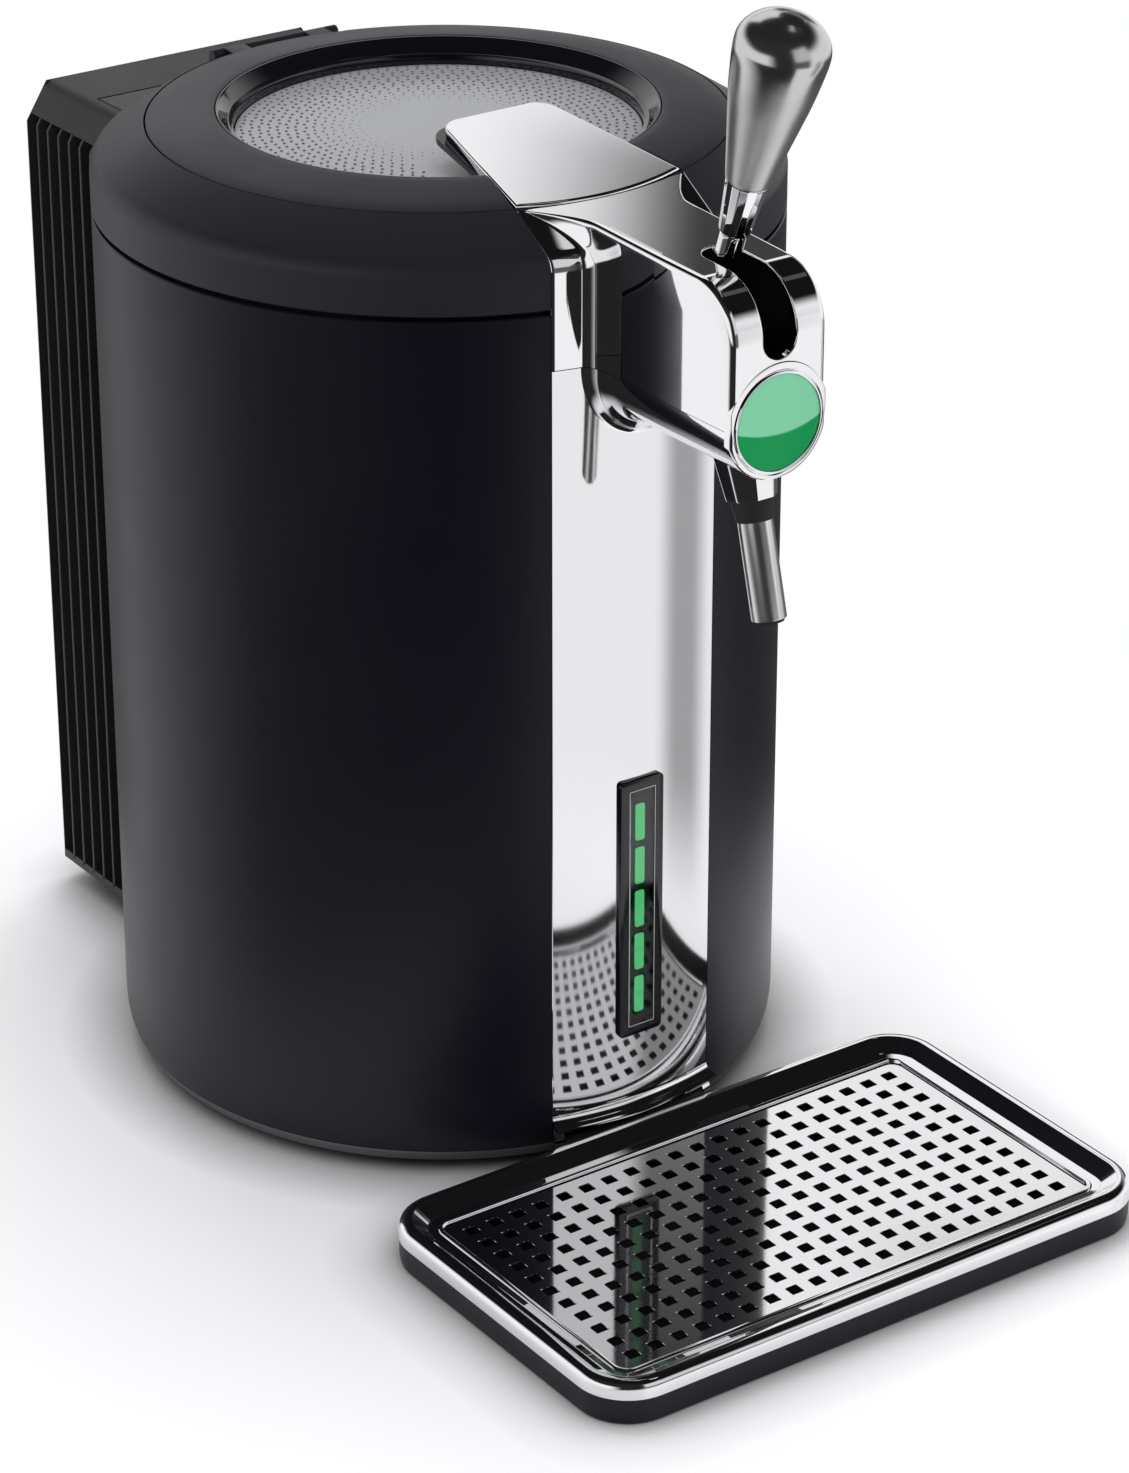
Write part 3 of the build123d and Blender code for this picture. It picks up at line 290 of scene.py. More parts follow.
# %% [markdown]
# ## Effects shared by several finishes
# A shader node group is a small recipe with named inputs. Three are enough here: a fine grain for moulded
# plastic, long thin scratches for brushed metal, and soft smudges that change how sharp a reflection is.
# Each puts out plain values, and the material that uses one decides what they do. A few helpers come first,
# because long formulas are hard to read as one node after another.
# %% Helpers for node trees
def position(tree, source="Object"):
    """The X, Y and Z of a texture coordinate."""
    place, split = tree.nodes.new("ShaderNodeTexCoord"), tree.nodes.new("ShaderNodeSeparateXYZ")
    tree.links.new(place.outputs[source], split.inputs[0])
    return [split.outputs[axis] for axis in "XYZ"]


def give(tree, socket, value):
    """Links a socket to an input, or sets the input to a plain number."""
    if isinstance(value, bpy.types.NodeSocket):
        tree.links.new(value, socket)
    else:
        socket.default_value = value


def arithmetic(tree):
    """Gives a function that adds one Math node per call, so that a formula can be written in one line."""
    def do(operation, *values):
        node = tree.nodes.new("ShaderNodeMath")
        node.operation = operation
        for socket, value in zip(node.inputs, values):
            give(tree, socket, value)
        return node.outputs[0]

    return do


def eased(tree, value, start, end, first, last, kind="SMOOTHSTEP"):
    """A smooth or LINEAR step: `first` where value is below start, `last` where it is above end."""
    node = tree.nodes.new("ShaderNodeMapRange")
    node.interpolation_type = kind
    for label, given in zip(("Value", "From Min", "From Max", "To Min", "To Max"),
                            (value, start, end, first, last)):
        give(tree, node.inputs[label], given)
    return node.outputs["Result"]


def blend(tree, share, first, last):
    """A colour that goes from `first` to `last` as share goes from 0 to 1."""
    node = tree.nodes.new("ShaderNodeMix")
    node.data_type = "RGBA"
    tree.links.new(share, node.inputs[0])
    node.inputs[6].default_value, node.inputs[7].default_value = (*first, 1), (*last, 1)
    return node.outputs[2]


def use(tree, group, values):
    """Adds a shared effect to a node tree and sets its inputs."""
    node = tree.nodes.new("ShaderNodeGroup")
    node.node_tree = group
    for label, value in values.items():
        node.inputs[label].default_value = value
    return node


# %% Shared effects
def effect(name, inputs, outputs):
    """An empty shader group with float inputs and outputs."""
    group = bpy.data.node_groups.new(name, "ShaderNodeTree")
    for label, value in inputs.items():
        socket = group.interface.new_socket(name=label, in_out="INPUT", socket_type="NodeSocketFloat")
        socket.default_value = value
    for label in outputs:
        group.interface.new_socket(name=label, in_out="OUTPUT", socket_type="NodeSocketFloat")
    return group, group.nodes.new("NodeGroupInput"), group.nodes.new("NodeGroupOutput")


def moulded_grain():
    """Fine noise at Scale, its height times Depth, and its tone for small changes of colour."""
    group, given, result = effect("moulded_grain", {"Scale": 2500.0, "Depth": 1.0}, ("Height", "Tone"))
    n, link = group.nodes, group.links.new
    place = n.new("ShaderNodeTexCoord")
    noise = n.new("ShaderNodeTexNoise")
    noise.inputs["Detail"].default_value = 2
    depth = n.new("ShaderNodeMath")
    depth.operation = "MULTIPLY"
    link(place.outputs["Object"], noise.inputs["Vector"])
    link(given.outputs["Scale"], noise.inputs["Scale"])
    link(noise.outputs["Fac"], depth.inputs[0])
    link(given.outputs["Depth"], depth.inputs[1])
    link(depth.outputs[0], result.inputs["Height"])
    link(noise.outputs["Fac"], result.inputs["Tone"])
    return group


def long_scratches():
    """Noise squeezed so that it draws long thin lines: X, Y and Z give the fineness along each axis."""
    group, given, result = effect("long_scratches", {"X": 3000.0, "Y": 3000.0, "Z": 40.0}, ("Height",))
    n, link = group.nodes, group.links.new
    place, noise = n.new("ShaderNodeTexCoord"), n.new("ShaderNodeTexNoise")
    scale = n.new("ShaderNodeVectorMath")
    scale.operation = "MULTIPLY"
    join = n.new("ShaderNodeCombineXYZ")
    noise.inputs["Scale"].default_value = 1
    noise.inputs["Detail"].default_value = 3
    for axis in "XYZ":
        link(given.outputs[axis], join.inputs[axis])
    link(place.outputs["Object"], scale.inputs[0])
    link(join.outputs[0], scale.inputs[1])
    link(scale.outputs[0], noise.inputs["Vector"])
    link(noise.outputs["Fac"], result.inputs["Height"])
    return group


def soft_smudges():
    """Large soft noise turned into a value between Low and High."""
    group, given, result = effect("soft_smudges", {"Scale": 18.0, "Low": 0.03, "High": 0.06}, ("Value",))
    n, link = group.nodes, group.links.new
    place, noise = n.new("ShaderNodeTexCoord"), n.new("ShaderNodeTexNoise")
    spread = n.new("ShaderNodeMapRange")
    noise.inputs["Detail"].default_value = 4
    spread.inputs["From Min"].default_value = 0.3
    spread.inputs["From Max"].default_value = 0.7
    link(place.outputs["Object"], noise.inputs["Vector"])
    link(given.outputs["Scale"], noise.inputs["Scale"])
    link(noise.outputs["Fac"], spread.inputs["Value"])
    link(given.outputs["Low"], spread.inputs["To Min"])
    link(given.outputs["High"], spread.inputs["To Max"])
    link(spread.outputs["Result"], result.inputs["Value"])
    return group


GRAIN, SCRATCHES, SMUDGES = moulded_grain(), long_scratches(), soft_smudges()
print("effects", GRAIN.name, SCRATCHES.name, SMUDGES.name)

# %% [markdown]
# ## Finishes
# One Principled shader serves every finish here. What tells them apart is how dark the base is, whether it
# is metal, how rough it is, and which of the shared effects feeds its roughness and its bump.
# %% Finish maker
BUMP_DEPTH = 0.0002


def finish(name, color, metallic=0.0, rough=(0.4, 0.5), specular=0.5, grain=None, scratches=None, bump=0.1,
           emission=None, tone=None, tint=(1.0, 1.0, 1.0)):
    """A material: smudges drive roughness between its two values; grain or scratches drive a fine bump.

    With a tone, the grain also mixes that second colour in. The tint colours the plain shine of a plastic.
    """
    material = bpy.data.materials.new(name)
    material.use_nodes = True
    tree = material.node_tree
    link, shader = tree.links.new, tree.nodes["Principled BSDF"]
    constants = {"Base Color": (*color, 1), "Metallic": metallic, "Specular IOR Level": specular,
                 "Specular Tint": (*tint, 1)}
    if emission:
        constants["Emission Color"], constants["Emission Strength"] = (*emission[0], 1), emission[1]
    for label, value in constants.items():
        shader.inputs[label].default_value = value
    smudges = use(tree, SMUDGES, {"Low": rough[0], "High": rough[1]})
    link(smudges.outputs["Value"], shader.inputs["Roughness"])
    lines = None
    if grain:
        lines = use(tree, GRAIN, {"Scale": grain})
        if tone:
            link(blend(tree, lines.outputs["Tone"], color, tone), shader.inputs["Base Color"])
    if scratches:
        lines = use(tree, SCRATCHES, dict(zip("XYZ", scratches)))
    if lines:
        relief = tree.nodes.new("ShaderNodeBump")
        relief.inputs["Strength"].default_value, relief.inputs["Distance"].default_value = bump, BUMP_DEPTH
        link(lines.outputs["Height"], relief.inputs["Height"])
        link(relief.outputs["Normal"], shader.inputs["Normal"])
    return material


# %% [markdown]
# The barrel is nearly black with a satin skin; the lid and collar are the same plastic, a little lighter. A
# blue tint on their plain shine gives them their cold cast. The cooling module is a warmer, duller grey.
# The chrome is plated plastic, so it is a true mirror, while the long front strip and the drip plate are
# polished sheet, a touch softer.
# %% The finishes
BLUE = (0.86, 0.88, 1.0)
body_black = finish("satin_black", (0.0028, 0.0026, 0.0054), rough=(0.34, 0.39), specular=0.30, grain=2600,
                    bump=0.08, tint=BLUE)
lid_black = finish("lid_black", (0.0095, 0.0093, 0.0130), rough=(0.44, 0.50), specular=0.42, grain=2600,
                   bump=0.12, tint=BLUE)
base_grey = finish("base_grey", (0.06, 0.06, 0.065), rough=(0.35, 0.42), specular=0.4, grain=2600, bump=0.06)
black_plastic = finish("matte_black", (0.010, 0.010, 0.012), rough=(0.5, 0.6), specular=0.3, grain=2200,
                       bump=0.14)
tray_black = finish("tray_black", (0.0065, 0.006, 0.0085), rough=(0.36, 0.42), specular=0.24, grain=2200,
                    bump=0.06, tint=BLUE)
gloss_black = finish("gloss_black", (0.004, 0.004, 0.006), rough=(0.07, 0.12), specular=0.5)
module_grey = finish("module_grey", (0.016, 0.0155, 0.0155), rough=(0.46, 0.54), specular=0.35, grain=1800,
                     bump=0.14)
chrome = finish("chrome", (0.86, 0.86, 0.87), metallic=1.0, rough=(0.018, 0.035))
mirror_steel = finish("mirror_steel", (0.80, 0.80, 0.81), metallic=1.0, rough=(0.045, 0.065),
                      scratches=(900, 900, 14), bump=0.015)
spout_steel = finish("spout_steel", (0.80, 0.80, 0.79), metallic=1.0, rough=(0.22, 0.26),
                     scratches=(4500, 4500, 60), bump=0.05)
pin_steel = finish("pin_steel", (0.55, 0.55, 0.55), metallic=1.0, rough=(0.2, 0.28))
rubber = finish("rubber", (0.010, 0.010, 0.011), rough=(0.55, 0.7), specular=0.3, grain=1500, bump=0.15)
aluminium = finish("aluminium", (0.66, 0.66, 0.66), metallic=1.0, rough=(0.30, 0.38),
                   scratches=(2600, 2600, 30), bump=0.12)
foam = finish("foam", (0.62, 0.60, 0.52), rough=(0.8, 0.9), specular=0.1, grain=500, bump=0.5)
board_green = finish("board_green", (0.01, 0.09, 0.035), rough=(0.3, 0.4), grain=900, bump=0.1)
zinc = finish("zinc_sheet", (0.42, 0.43, 0.44), metallic=1.0, rough=(0.35, 0.5), grain=300, bump=0.1)
ceramic = finish("ceramic", (0.72, 0.71, 0.67), rough=(0.4, 0.5), grain=900, bump=0.06)
print("finishes", len(bpy.data.materials))

# %% [markdown]
# ## The barrel
# The skin is one big turned tube. Its lower edge rolls in gently, and down the front it steps back so that
# the mirror strip can lie flush. A turned surface can change its profile from one angle to the next: two
# columns at the same angle with different profiles make the step between them.
# %% Turned pieces whose profile changes with the angle
def sectors(parts, turns=256):
    """Columns of (angle, profile): each part keeps its profile from its start to its end, in degrees."""
    angles, profiles = [], []
    for start, end, profile in parts:
        count = max(2, int(turns * (end - start) / 360) + 1)
        angles.append(np.linspace(start, end, count))
        profiles.append(np.repeat(np.asarray(profile, float)[:, None, :], count, 1))
    angle = np.radians(np.concatenate(angles))[None, :]
    profile = np.concatenate(profiles, 1)
    r, z = profile[..., 0], profile[..., 1]
    return patch(np.stack([r * np.sin(angle), -r * np.cos(angle), z], -1), (0, 0, NAN), wrap_rows=True,
                 wrap_cols=True)


def lower_edge(radius):
    """The skin's rolled lower edge up to full radius."""
    return [(radius - 2.4, 10.0), (radius - 1.6, 10.5), (radius - 0.75, 13.0), (radius - 0.25, 16.5),
            (radius, 20.5)]


PANEL_ANGLE = math.degrees(math.asin((PANEL_HALF + 0.25) / BARREL_R))
skin = [(126.0, 10.0), *lower_edge(BARREL_R), (BARREL_R, 120.0), (BARREL_R, 240.0), (BARREL_R, 360.5),
        (134.6, 361.0), (131.0, 361.0), (131.0, 14.0), (126.0, 14.0)]
recess = [(min(r, 132.9) if z > 20 else r - 2.1 if r > 131.5 else r, z) for r, z in skin]
barrel_parts = [(-PANEL_ANGLE, PANEL_ANGLE, recess), (PANEL_ANGLE, 360 - PANEL_ANGLE, skin)]
piece("barrel_skin", [sectors(barrel_parts, 320)], "dispenser", body_black, ["barrel_shell"])
foot_line = [(124, 9.9), (133.1, 9.9), (133.1, 9.2), (132.7, 8.4), (130.5, 4.9), (129.6, 4.5), (124, 4.5)]
piece("foot_ring", [spin(foot_line)], "dispenser", base_grey, ["base_ring"])

# %% [markdown]
# ## The collar
# Above a narrow dark gap, the collar stands upright for a finger's width, turns over a soft edge and runs
# in as a straight bevel to the lid. The soft edge is an arc between two straight lines, found from their
# meeting point. Behind, the bevel is cut down for the lid's hinge, and in front it steps back under the
# chromed flange.
# %% Collar
def bevel_line(grow=0.0, steps=14):
    """The collar's wall, soft edge and bevel as (radius, height) points, moved out by `grow`."""
    corner = [(BARREL_R + grow, PARTING_Z), (BARREL_R + grow, BEVEL_FOOT + grow),
              (SEAM_R + 0.5, SEAM_Z - 0.32 + grow)]
    return rounded_line(corner, [BEVEL_SOFT], steps)


def bevel_radius(z, grow=0.0):
    """The collar's outer radius at a height, read off the bevel line."""
    line = bevel_line(grow, 40)
    return np.interp(z, line[:, 1], line[:, 0])


def collar_section(grow=0.0, top=SEAM_Z):
    """The collar's closed section; `top` cuts the bevel off level."""
    outer = bevel_line(grow)[1:]
    outer[:, 1] = np.minimum(outer[:, 1], top)
    foot = [(BARREL_R + grow - 0.5, COLLAR_BOTTOM), (BARREL_R + grow, COLLAR_BOTTOM + 0.5)]
    lip = [(SEAM_R + 0.15, min(SEAM_Z - 0.2 + grow, top)), (SEAM_R, min(SEAM_Z - 0.6 + grow, top))]
    inner = [(SEAM_R, 384.0), (109.0, 384.0), (109.0, 380.0), (116.6, 380.0), (116.6, 386.0), (131.5, 377.0),
             (131.5, COLLAR_BOTTOM)]
    return [*foot, *outer.tolist(), *lip, *inner]


HINGE_ANGLE = 14.2
collar_parts = [
    (-PANEL_ANGLE, PANEL_ANGLE, collar_section(-2.1)),
    (PANEL_ANGLE, 180 - HINGE_ANGLE, collar_section()),
    (180 - HINGE_ANGLE, 180 + HINGE_ANGLE, collar_section(0, 388.6)),
    (180 + HINGE_ANGLE, 360 - PANEL_ANGLE, collar_section()),
]
HINGE_Y, HINGE_Z, EYE_R, EYE_FOOT_Z = 119.5, 392.3, 2.5, 388.4


def hinge_block(x0, x1, reach=0.0):
    """A hinge eye along X: a half-round head over a foot, or beside an arm that reaches to the lid."""
    if reach:
        head, foot = arc((0, 0), EYE_R, -90, 90, 13), [(-reach, 1.9), (-reach, -2.4)]
    else:
        head = arc((0, 0), EYE_R, 0, 180, 13)
        foot = [(-EYE_R, EYE_FOOT_Z - HINGE_Z), (EYE_R, EYE_FOOT_Z - HINGE_Z)]
    outline = np.concatenate([head, foot])
    return prism(outline, x0, x1, 0.3, 0.3, axes("yzx", (0, HINGE_Y, HINGE_Z)))


eyes = hinge_block(-29.5, -24.4) + hinge_block(24.4, 29.5) + hinge_block(-13.4, 13.4)
piece("collar", [sectors(collar_parts, 320)] + eyes, "dispenser", lid_black, ["upper_collar"])

# %% [markdown]
# ## The lid
# A flat ring with a slight crown, a glossy step down, and a smoked window. At the front the ring is let
# down so that the chromed latch can lie in it; the sides of that recess follow the latch, so the angle
# where they stand depends on the radius.
# %% Lid ring and step
FLAP_FRONT_HALF, FLAP_REAR_HALF, FLAP_CORNER_Y, SIDE_REAR_Y = 37.2, 24.0, -105.8, -45.5
FLAP_FRONT_Y, FLAP_FRONT_Z, FLAP_SLOPE = -112.5, 395.2, 0.15
LATCH_SIDE_X = 34.0


def latch_half(y):
    """The latch's half-width at y: straight sides that widen from its rear to the seam."""
    return np.interp(y, [FLAP_CORNER_Y, SIDE_REAR_Y], [FLAP_FRONT_HALF, FLAP_REAR_HALF])


def latch_top(y):
    """The latch's sloping top face."""
    return FLAP_FRONT_Z + FLAP_SLOPE * (np.asarray(y, float) - FLAP_FRONT_Y)


def lid_surface(profile, floor, clear=0.7, turns=280):
    """A turned lid part whose top is let down to `floor` below the latch between the latch's two sides."""
    profile = np.asarray(profile, float)
    r, z = profile[:, :1], profile[:, 1:]
    y = -np.sqrt(r * r - LATCH_SIDE_X ** 2)
    side = np.arcsin((latch_half(y) + clear) / r)
    front = side * np.linspace(-1, 1, 25)
    rest = side + (2 * math.pi - 2 * side) * np.linspace(0, 1, turns)
    low = np.minimum(z, latch_top(-r * np.cos(front)) - floor)
    angle = np.concatenate([front, rest], 1)
    height = np.concatenate([low, np.repeat(z, turns, 1)], 1)
    return patch(np.stack([r * np.sin(angle), -r * np.cos(angle), height], -1), (0, 0, NAN), wrap_rows=True,
                 wrap_cols=True)


lid_top = [(112.9, 394.75), (112.75, 395.15), (112.3, 395.4), (105.0, 396.95), (97.0, 398.35),
           (90.0, 399.25), (86.9, 399.5), (86.3, 399.4), (86.1, 399.0)]
lid_profile = [(86.1, 385.0), (112.3, 385.0), (112.9, 385.6), *lid_top]
lugs = hinge_block(14.0, 23.8, reach=13.0) + hinge_block(-23.8, -14.0, reach=13.0)
piece("lid_ring_top", [lid_surface(lid_profile, 4.8)] + lugs, "lid", lid_black, ["lid_ring"])
step_profile = [(79.2, 385.0), (86.0, 385.0), (86.0, 398.8), (85.7, 399.3), (85.2, 399.3), (84.6, 398.9),
                (81.4, 394.3), (80.8, 393.8), (80.2, 393.7), (79.5, 393.4), (79.2, 392.8), (79.0, 389.2)]
piece("lid_step", [lid_surface(step_profile, 7.2)], "lid", gloss_black, ["lid_bezel"])

# %% [markdown]
# ## The window
# A shallow dome of smoked plastic. Rings of small raised dots cover it, larger towards the rim, and leave
# the middle and the place under the latch bare. Each dot is pushed in or out a little by a sine of its
# angle, since perfect rings would show as lines. A dot is a six-sided cone with a flat top, so that
# thousands of them stay light, and the dots are a piece of their own because they look darker than the
# dome.
# %% Window and its dots
WINDOW_R, WINDOW_Z, WINDOW_RISE = 78.7, 389.6, 1.6
FIRST_RING, LAST_RING, RING_STEP, DOT_STEP = 30.5, 76.5, 3.5, 4.0
DOT_R, DOT_SHIFT, DOT_SIDES = 0.80, 0.45, 6
BARE_HALF, BARE_Y = 34, -30


def window_height(x, y):
    """A paraboloid: full rise in the middle, none at the rim."""
    return WINDOW_Z + WINDOW_RISE * (1 - (x * x + y * y) / WINDOW_R ** 2)


def dots():
    """Places and sizes of the dots: even rings, each second ring turned by half a step."""
    rings = np.arange(FIRST_RING, LAST_RING, RING_STEP)
    counts = (2 * math.pi * rings / DOT_STEP).astype(int)
    r = np.repeat(rings, counts)
    turns = [(np.arange(count) + 0.5 * (k % 2)) * 2 * math.pi / count for k, count in enumerate(counts)]
    a = np.concatenate(turns)
    size = DOT_R * np.clip((r - 20) / 34, 0.25, 1)
    r = r + DOT_SHIFT * np.sin(37.0 * a + r)
    x, y = r * np.sin(a), -r * np.cos(a)
    free = ~((np.abs(x) < BARE_HALF) & (y < BARE_Y))
    return x[free], y[free], size[free]


def dot_cones(x, y, size):
    """Two rings of points per dot, a wide one sunk in the dome and a small one above it, and their faces."""
    x, y, size = (values[:, None, None] for values in (x, y, size))
    turn = np.radians(np.arange(DOT_SIDES) * 360.0 / DOT_SIDES)[None, None]
    share, lift = np.array([1.0, 0.45])[None, :, None], np.array([-0.05, 0.32])[None, :, None]
    ring_x, ring_y = x + size * share * np.cos(turn), y + size * share * np.sin(turn)
    ring_z = window_height(x, y) + lift * (size / 0.62) + 0 * ring_x
    points = np.stack([ring_x, ring_y, ring_z], -1).reshape(-1, 3)
    first = 2 * DOT_SIDES * np.arange(len(x))[:, None]
    sides = (grid_faces(2, DOT_SIDES, wrap_cols=True)[None] + first[..., None]).reshape(-1, 4)
    return [(points, sides), (points, np.arange(DOT_SIDES, 2 * DOT_SIDES)[None] + first)]


radii = np.linspace(WINDOW_R - 0.3, 0.01, 40)
dome_profile = [(WINDOW_R, 386.7), (WINDOW_R, WINDOW_Z - 0.05), *zip(radii, window_height(radii, 0))]
smoke = finish("smoked_window", (0.235, 0.239, 0.247), rough=(0.24, 0.32), specular=0.42, grain=900,
               bump=0.04, tone=(0.30, 0.304, 0.312))
piece("window_dome", [spin(dome_profile, (0, 0, 380.0), 220)], "lid", smoke, ["lid_window"])
dot_grey = finish("dot_grey", (0.135, 0.138, 0.144), rough=(0.3, 0.4), specular=0.4, grain=900, bump=0.02)
piece("window_dots", dot_cones(*dots()), "lid", dot_grey)

# %% [markdown]
# ## Sheets with openings
# A perforated plate is a grid of cells, some solid and some open. One array of yes and no says which. Every
# solid cell gets a face in front and one behind, and wherever a solid cell has an open neighbour a wall
# joins the two skins. The same few lines make the mirror panel, the drip plate with its 220 holes, and the
# slotted back cover.
# %% Perforated sheet
def sheet(xs, ys, solid, front, back):
    """Front and back skins over the solid cells, and walls from front to back where solid meets open."""
    x, y = np.meshgrid(xs, ys, indexing="ij")
    points = np.concatenate([front(x, y).reshape(-1, 3), back(x, y).reshape(-1, 3)])
    n, rows = x.size, len(ys)
    i, j = np.nonzero(solid)
    a, b, c, d = i * rows + j, (i + 1) * rows + j, (i + 1) * rows + j + 1, i * rows + j + 1
    around = np.pad(solid, 1)
    faces = [np.stack([a, b, c, d], -1), np.stack([a, d, c, b], -1) + n]
    sides = (((1, 0), a, b), ((2, 1), b, c), ((1, 2), c, d), ((0, 1), d, a))
    for (di, dj), p, q in sides:
        open_side = ~around[i + di, j + dj]
        faces.append(np.stack([q, p, p + n, q + n], -1)[open_side])
    faces = np.concatenate(faces)
    used, inverse = np.unique(faces, return_inverse=True)
    return points[used], inverse.reshape(faces.shape)


def on_barrel(radius):
    """A skin at a radius: x runs round it, height stays."""
    return lambda x, z: np.stack([x, -np.sqrt(radius ** 2 - x ** 2), z], -1)


def level_at(height):
    """A flat skin at one height."""
    return lambda x, y: np.stack([x, y, np.full_like(x, height)], -1)


# %% [markdown]
# ## The mirror strip and its display
# The strip is polished sheet bent round the barrel, with a window for the display. The display's frame
# stands a little proud. Its rings of points are outlines of shrinking size, and the last one has no width
# at all, which closes the middle without a seam. A fine pale line round the pane is a painted highlight
# for the light on the frame's inner edge, and five green bars glow behind it.
# %% Mirror strip
DISPLAY_HALF, DISPLAY_LOW, DISPLAY_HIGH = 10.1, 52.0, 164.4
OPENING_HALF, OPENING_LOW, OPENING_HIGH, EDGE_ROLL = 7, 55.6, 160.8, 0.25
left_part = [-PANEL_HALF, -PANEL_HALF + EDGE_ROLL, *np.linspace(-37, -OPENING_HALF, 31)]
xs = np.concatenate([left_part, np.linspace(-6.7, 6.7, 14), -np.array(left_part[::-1])])
zs = np.concatenate([np.linspace(23.5, OPENING_LOW, 9), np.linspace(57, 159, 25),
                     np.linspace(OPENING_HIGH, 338.8, 40)])
middle_x, middle_z = (xs[:-1] + xs[1:]) / 2, (zs[:-1] + zs[1:]) / 2
in_height = (middle_z > OPENING_LOW) & (middle_z < OPENING_HIGH)
solid = ~((np.abs(middle_x) < OPENING_HALF)[:, None] & in_height[None, :])


def strip_front(x, z):
    """The strip's skin, with its long edges rolled in by a quarter millimetre."""
    past = np.maximum(np.abs(x) - PANEL_HALF + EDGE_ROLL, 0)
    roll = EDGE_ROLL - np.sqrt(np.maximum(EDGE_ROLL ** 2 - past ** 2, 0))
    return on_barrel(BARREL_R)(x, z) + np.stack([0 * x, roll, 0 * x], -1)


strip_sheet = sheet(xs, zs, solid, strip_front, on_barrel(BARREL_R - 1.8))
piece("mirror_strip", [strip_sheet], "dispenser", mirror_steel, ["front_panel"])

# %% Display
DISPLAY_MIDDLE, TALL = (DISPLAY_LOW + DISPLAY_HIGH) / 2, (DISPLAY_HIGH - DISPLAY_LOW) / 2


def display_rings(steps, closed=True):
    """Rings of (half width, half height, corner radius, height off the skin), wrapped round the barrel."""
    rings = []
    for half, tall, corner, off in steps:
        outline = rounded_rect(2 * half, 2 * tall, corner, 6) + (0, DISPLAY_MIDDLE)
        rings.append(np.column_stack([outline, np.full(len(outline), off)]))
    points, faces = patch(np.array(rings), (0, DISPLAY_MIDDLE, -2), wrap_rows=closed, wrap_cols=True)
    return [(wrap_on(BARREL_R)(points), faces)]


frame_steps = [
    (DISPLAY_HALF, TALL, 2.0, 0.02), (DISPLAY_HALF, TALL, 2.0, 1.5), (9.98, TALL - 0.12, 1.9, 1.78),
    (9.7, TALL - 0.4, 1.7, 1.9), (8.0, TALL - 2.2, 1.2, 1.9), (6.3, TALL - 4.0, 0.8, 1.9),
    (5.8, TALL - 4.5, 0.5, 1.86), (5.75, TALL - 4.6, 0.45, 1.7), (5.75, TALL - 4.6, 0.45, 0.05),
]
piece("display_frame", display_rings(frame_steps), "dispenser", gloss_black,
      ["display_bezel"])

tinted = finish("tinted_pane", (0.30, 0.30, 0.31), rough=(0.03, 0.05))
tinted.node_tree.nodes["Principled BSDF"].inputs["Transmission Weight"].default_value = 1.0
pane_steps = [
    (0.0, TALL - 10.5, 0.0, 0.5), (5.5, TALL - 4.85, 0.3, 0.5), (5.6, TALL - 4.75, 0.35, 0.6),
    (5.6, TALL - 4.75, 0.35, 1.72), (5.5, TALL - 4.85, 0.35, 1.8), (0.0, TALL - 10.5, 0.0, 1.8),
]
piece("display_window", display_rings(pane_steps, closed=False), "dispenser", tinted,
      ["display_pane"])

# The pale grey line is a painted highlight: it stands in for the light caught by the frame's inner edge.
edge_highlight_grey = finish("painted_edge_highlight", (0.42, 0.42, 0.43), rough=(0.3, 0.35), grain=1200, bump=0.02)
edge_highlight_steps = [
    (6.05, TALL - 4.35, 0.45, 1.88), (6.05, TALL - 4.35, 0.45, 1.915),
    (5.8, TALL - 4.6, 0.35, 1.915), (5.8, TALL - 4.6, 0.35, 1.86),
]
piece("display_edge_highlight", display_rings(edge_highlight_steps), "dispenser", edge_highlight_grey)

# %% [markdown]
# The bars glow. In the polished parts around them the same glow would be far too bright, so it is turned
# down once a ray has been mirrored: Glossy Depth counts how often that has happened.
# %% Light bars
GLOW, GLOW_MIRRORED, BAR_PITCH = 2.0, 0.2, 19
green_light = finish("green_light", (0.03, 0.30, 0.10), rough=(0.4, 0.5),
                     emission=((0.13, 0.80, 0.27), GLOW), grain=900, bump=0.02)
tree = green_light.node_tree
depth = tree.nodes.new("ShaderNodeLightPath").outputs["Glossy Depth"]
glow = eased(tree, depth, 0.0, 1.0, GLOW, GLOW_MIRRORED, kind="LINEAR")
tree.links.new(glow, tree.nodes["Principled BSDF"].inputs["Emission Strength"])
bars = []
for index in range(5):
    outline = rounded_rect(4.2, 15.7, 0.9, 5) + (0, 145.15 - BAR_PITCH * index)
    bars += prism(outline, 134.2, 134.9, 0.1, 0.25, axes("xzY"))
piece("light_bars_glow", bars, "dispenser", green_light, ["light_bars"])

# %% [markdown]
# ## The flared strip and its brackets
# Below the mirror, a narrow chromed strip flares outwards and hides the joint to the floor ring. Its
# section is turned through the angle that the mirror spans, and both ends are closed with the section
# itself.
# %% Flared strip
def turned_part(profile, start, end, turns=64):
    """A closed section turned from one angle to another, in degrees, with closed ends."""
    profile = np.asarray(profile, float)
    loop = np.vstack([profile, profile[:1]])
    r, z = profile.T
    points, faces = spin(loop, (0, 0, z.mean()), turns, math.radians(start), math.radians(end))
    ends = [np.stack([r * math.sin(a), -r * math.cos(a), z], -1) for a in np.radians([start, end])]
    middle = (ends[0].mean(0) + ends[1].mean(0)) / 2
    return [(points, faces), cap(ends[0], middle), cap(ends[1], middle)]


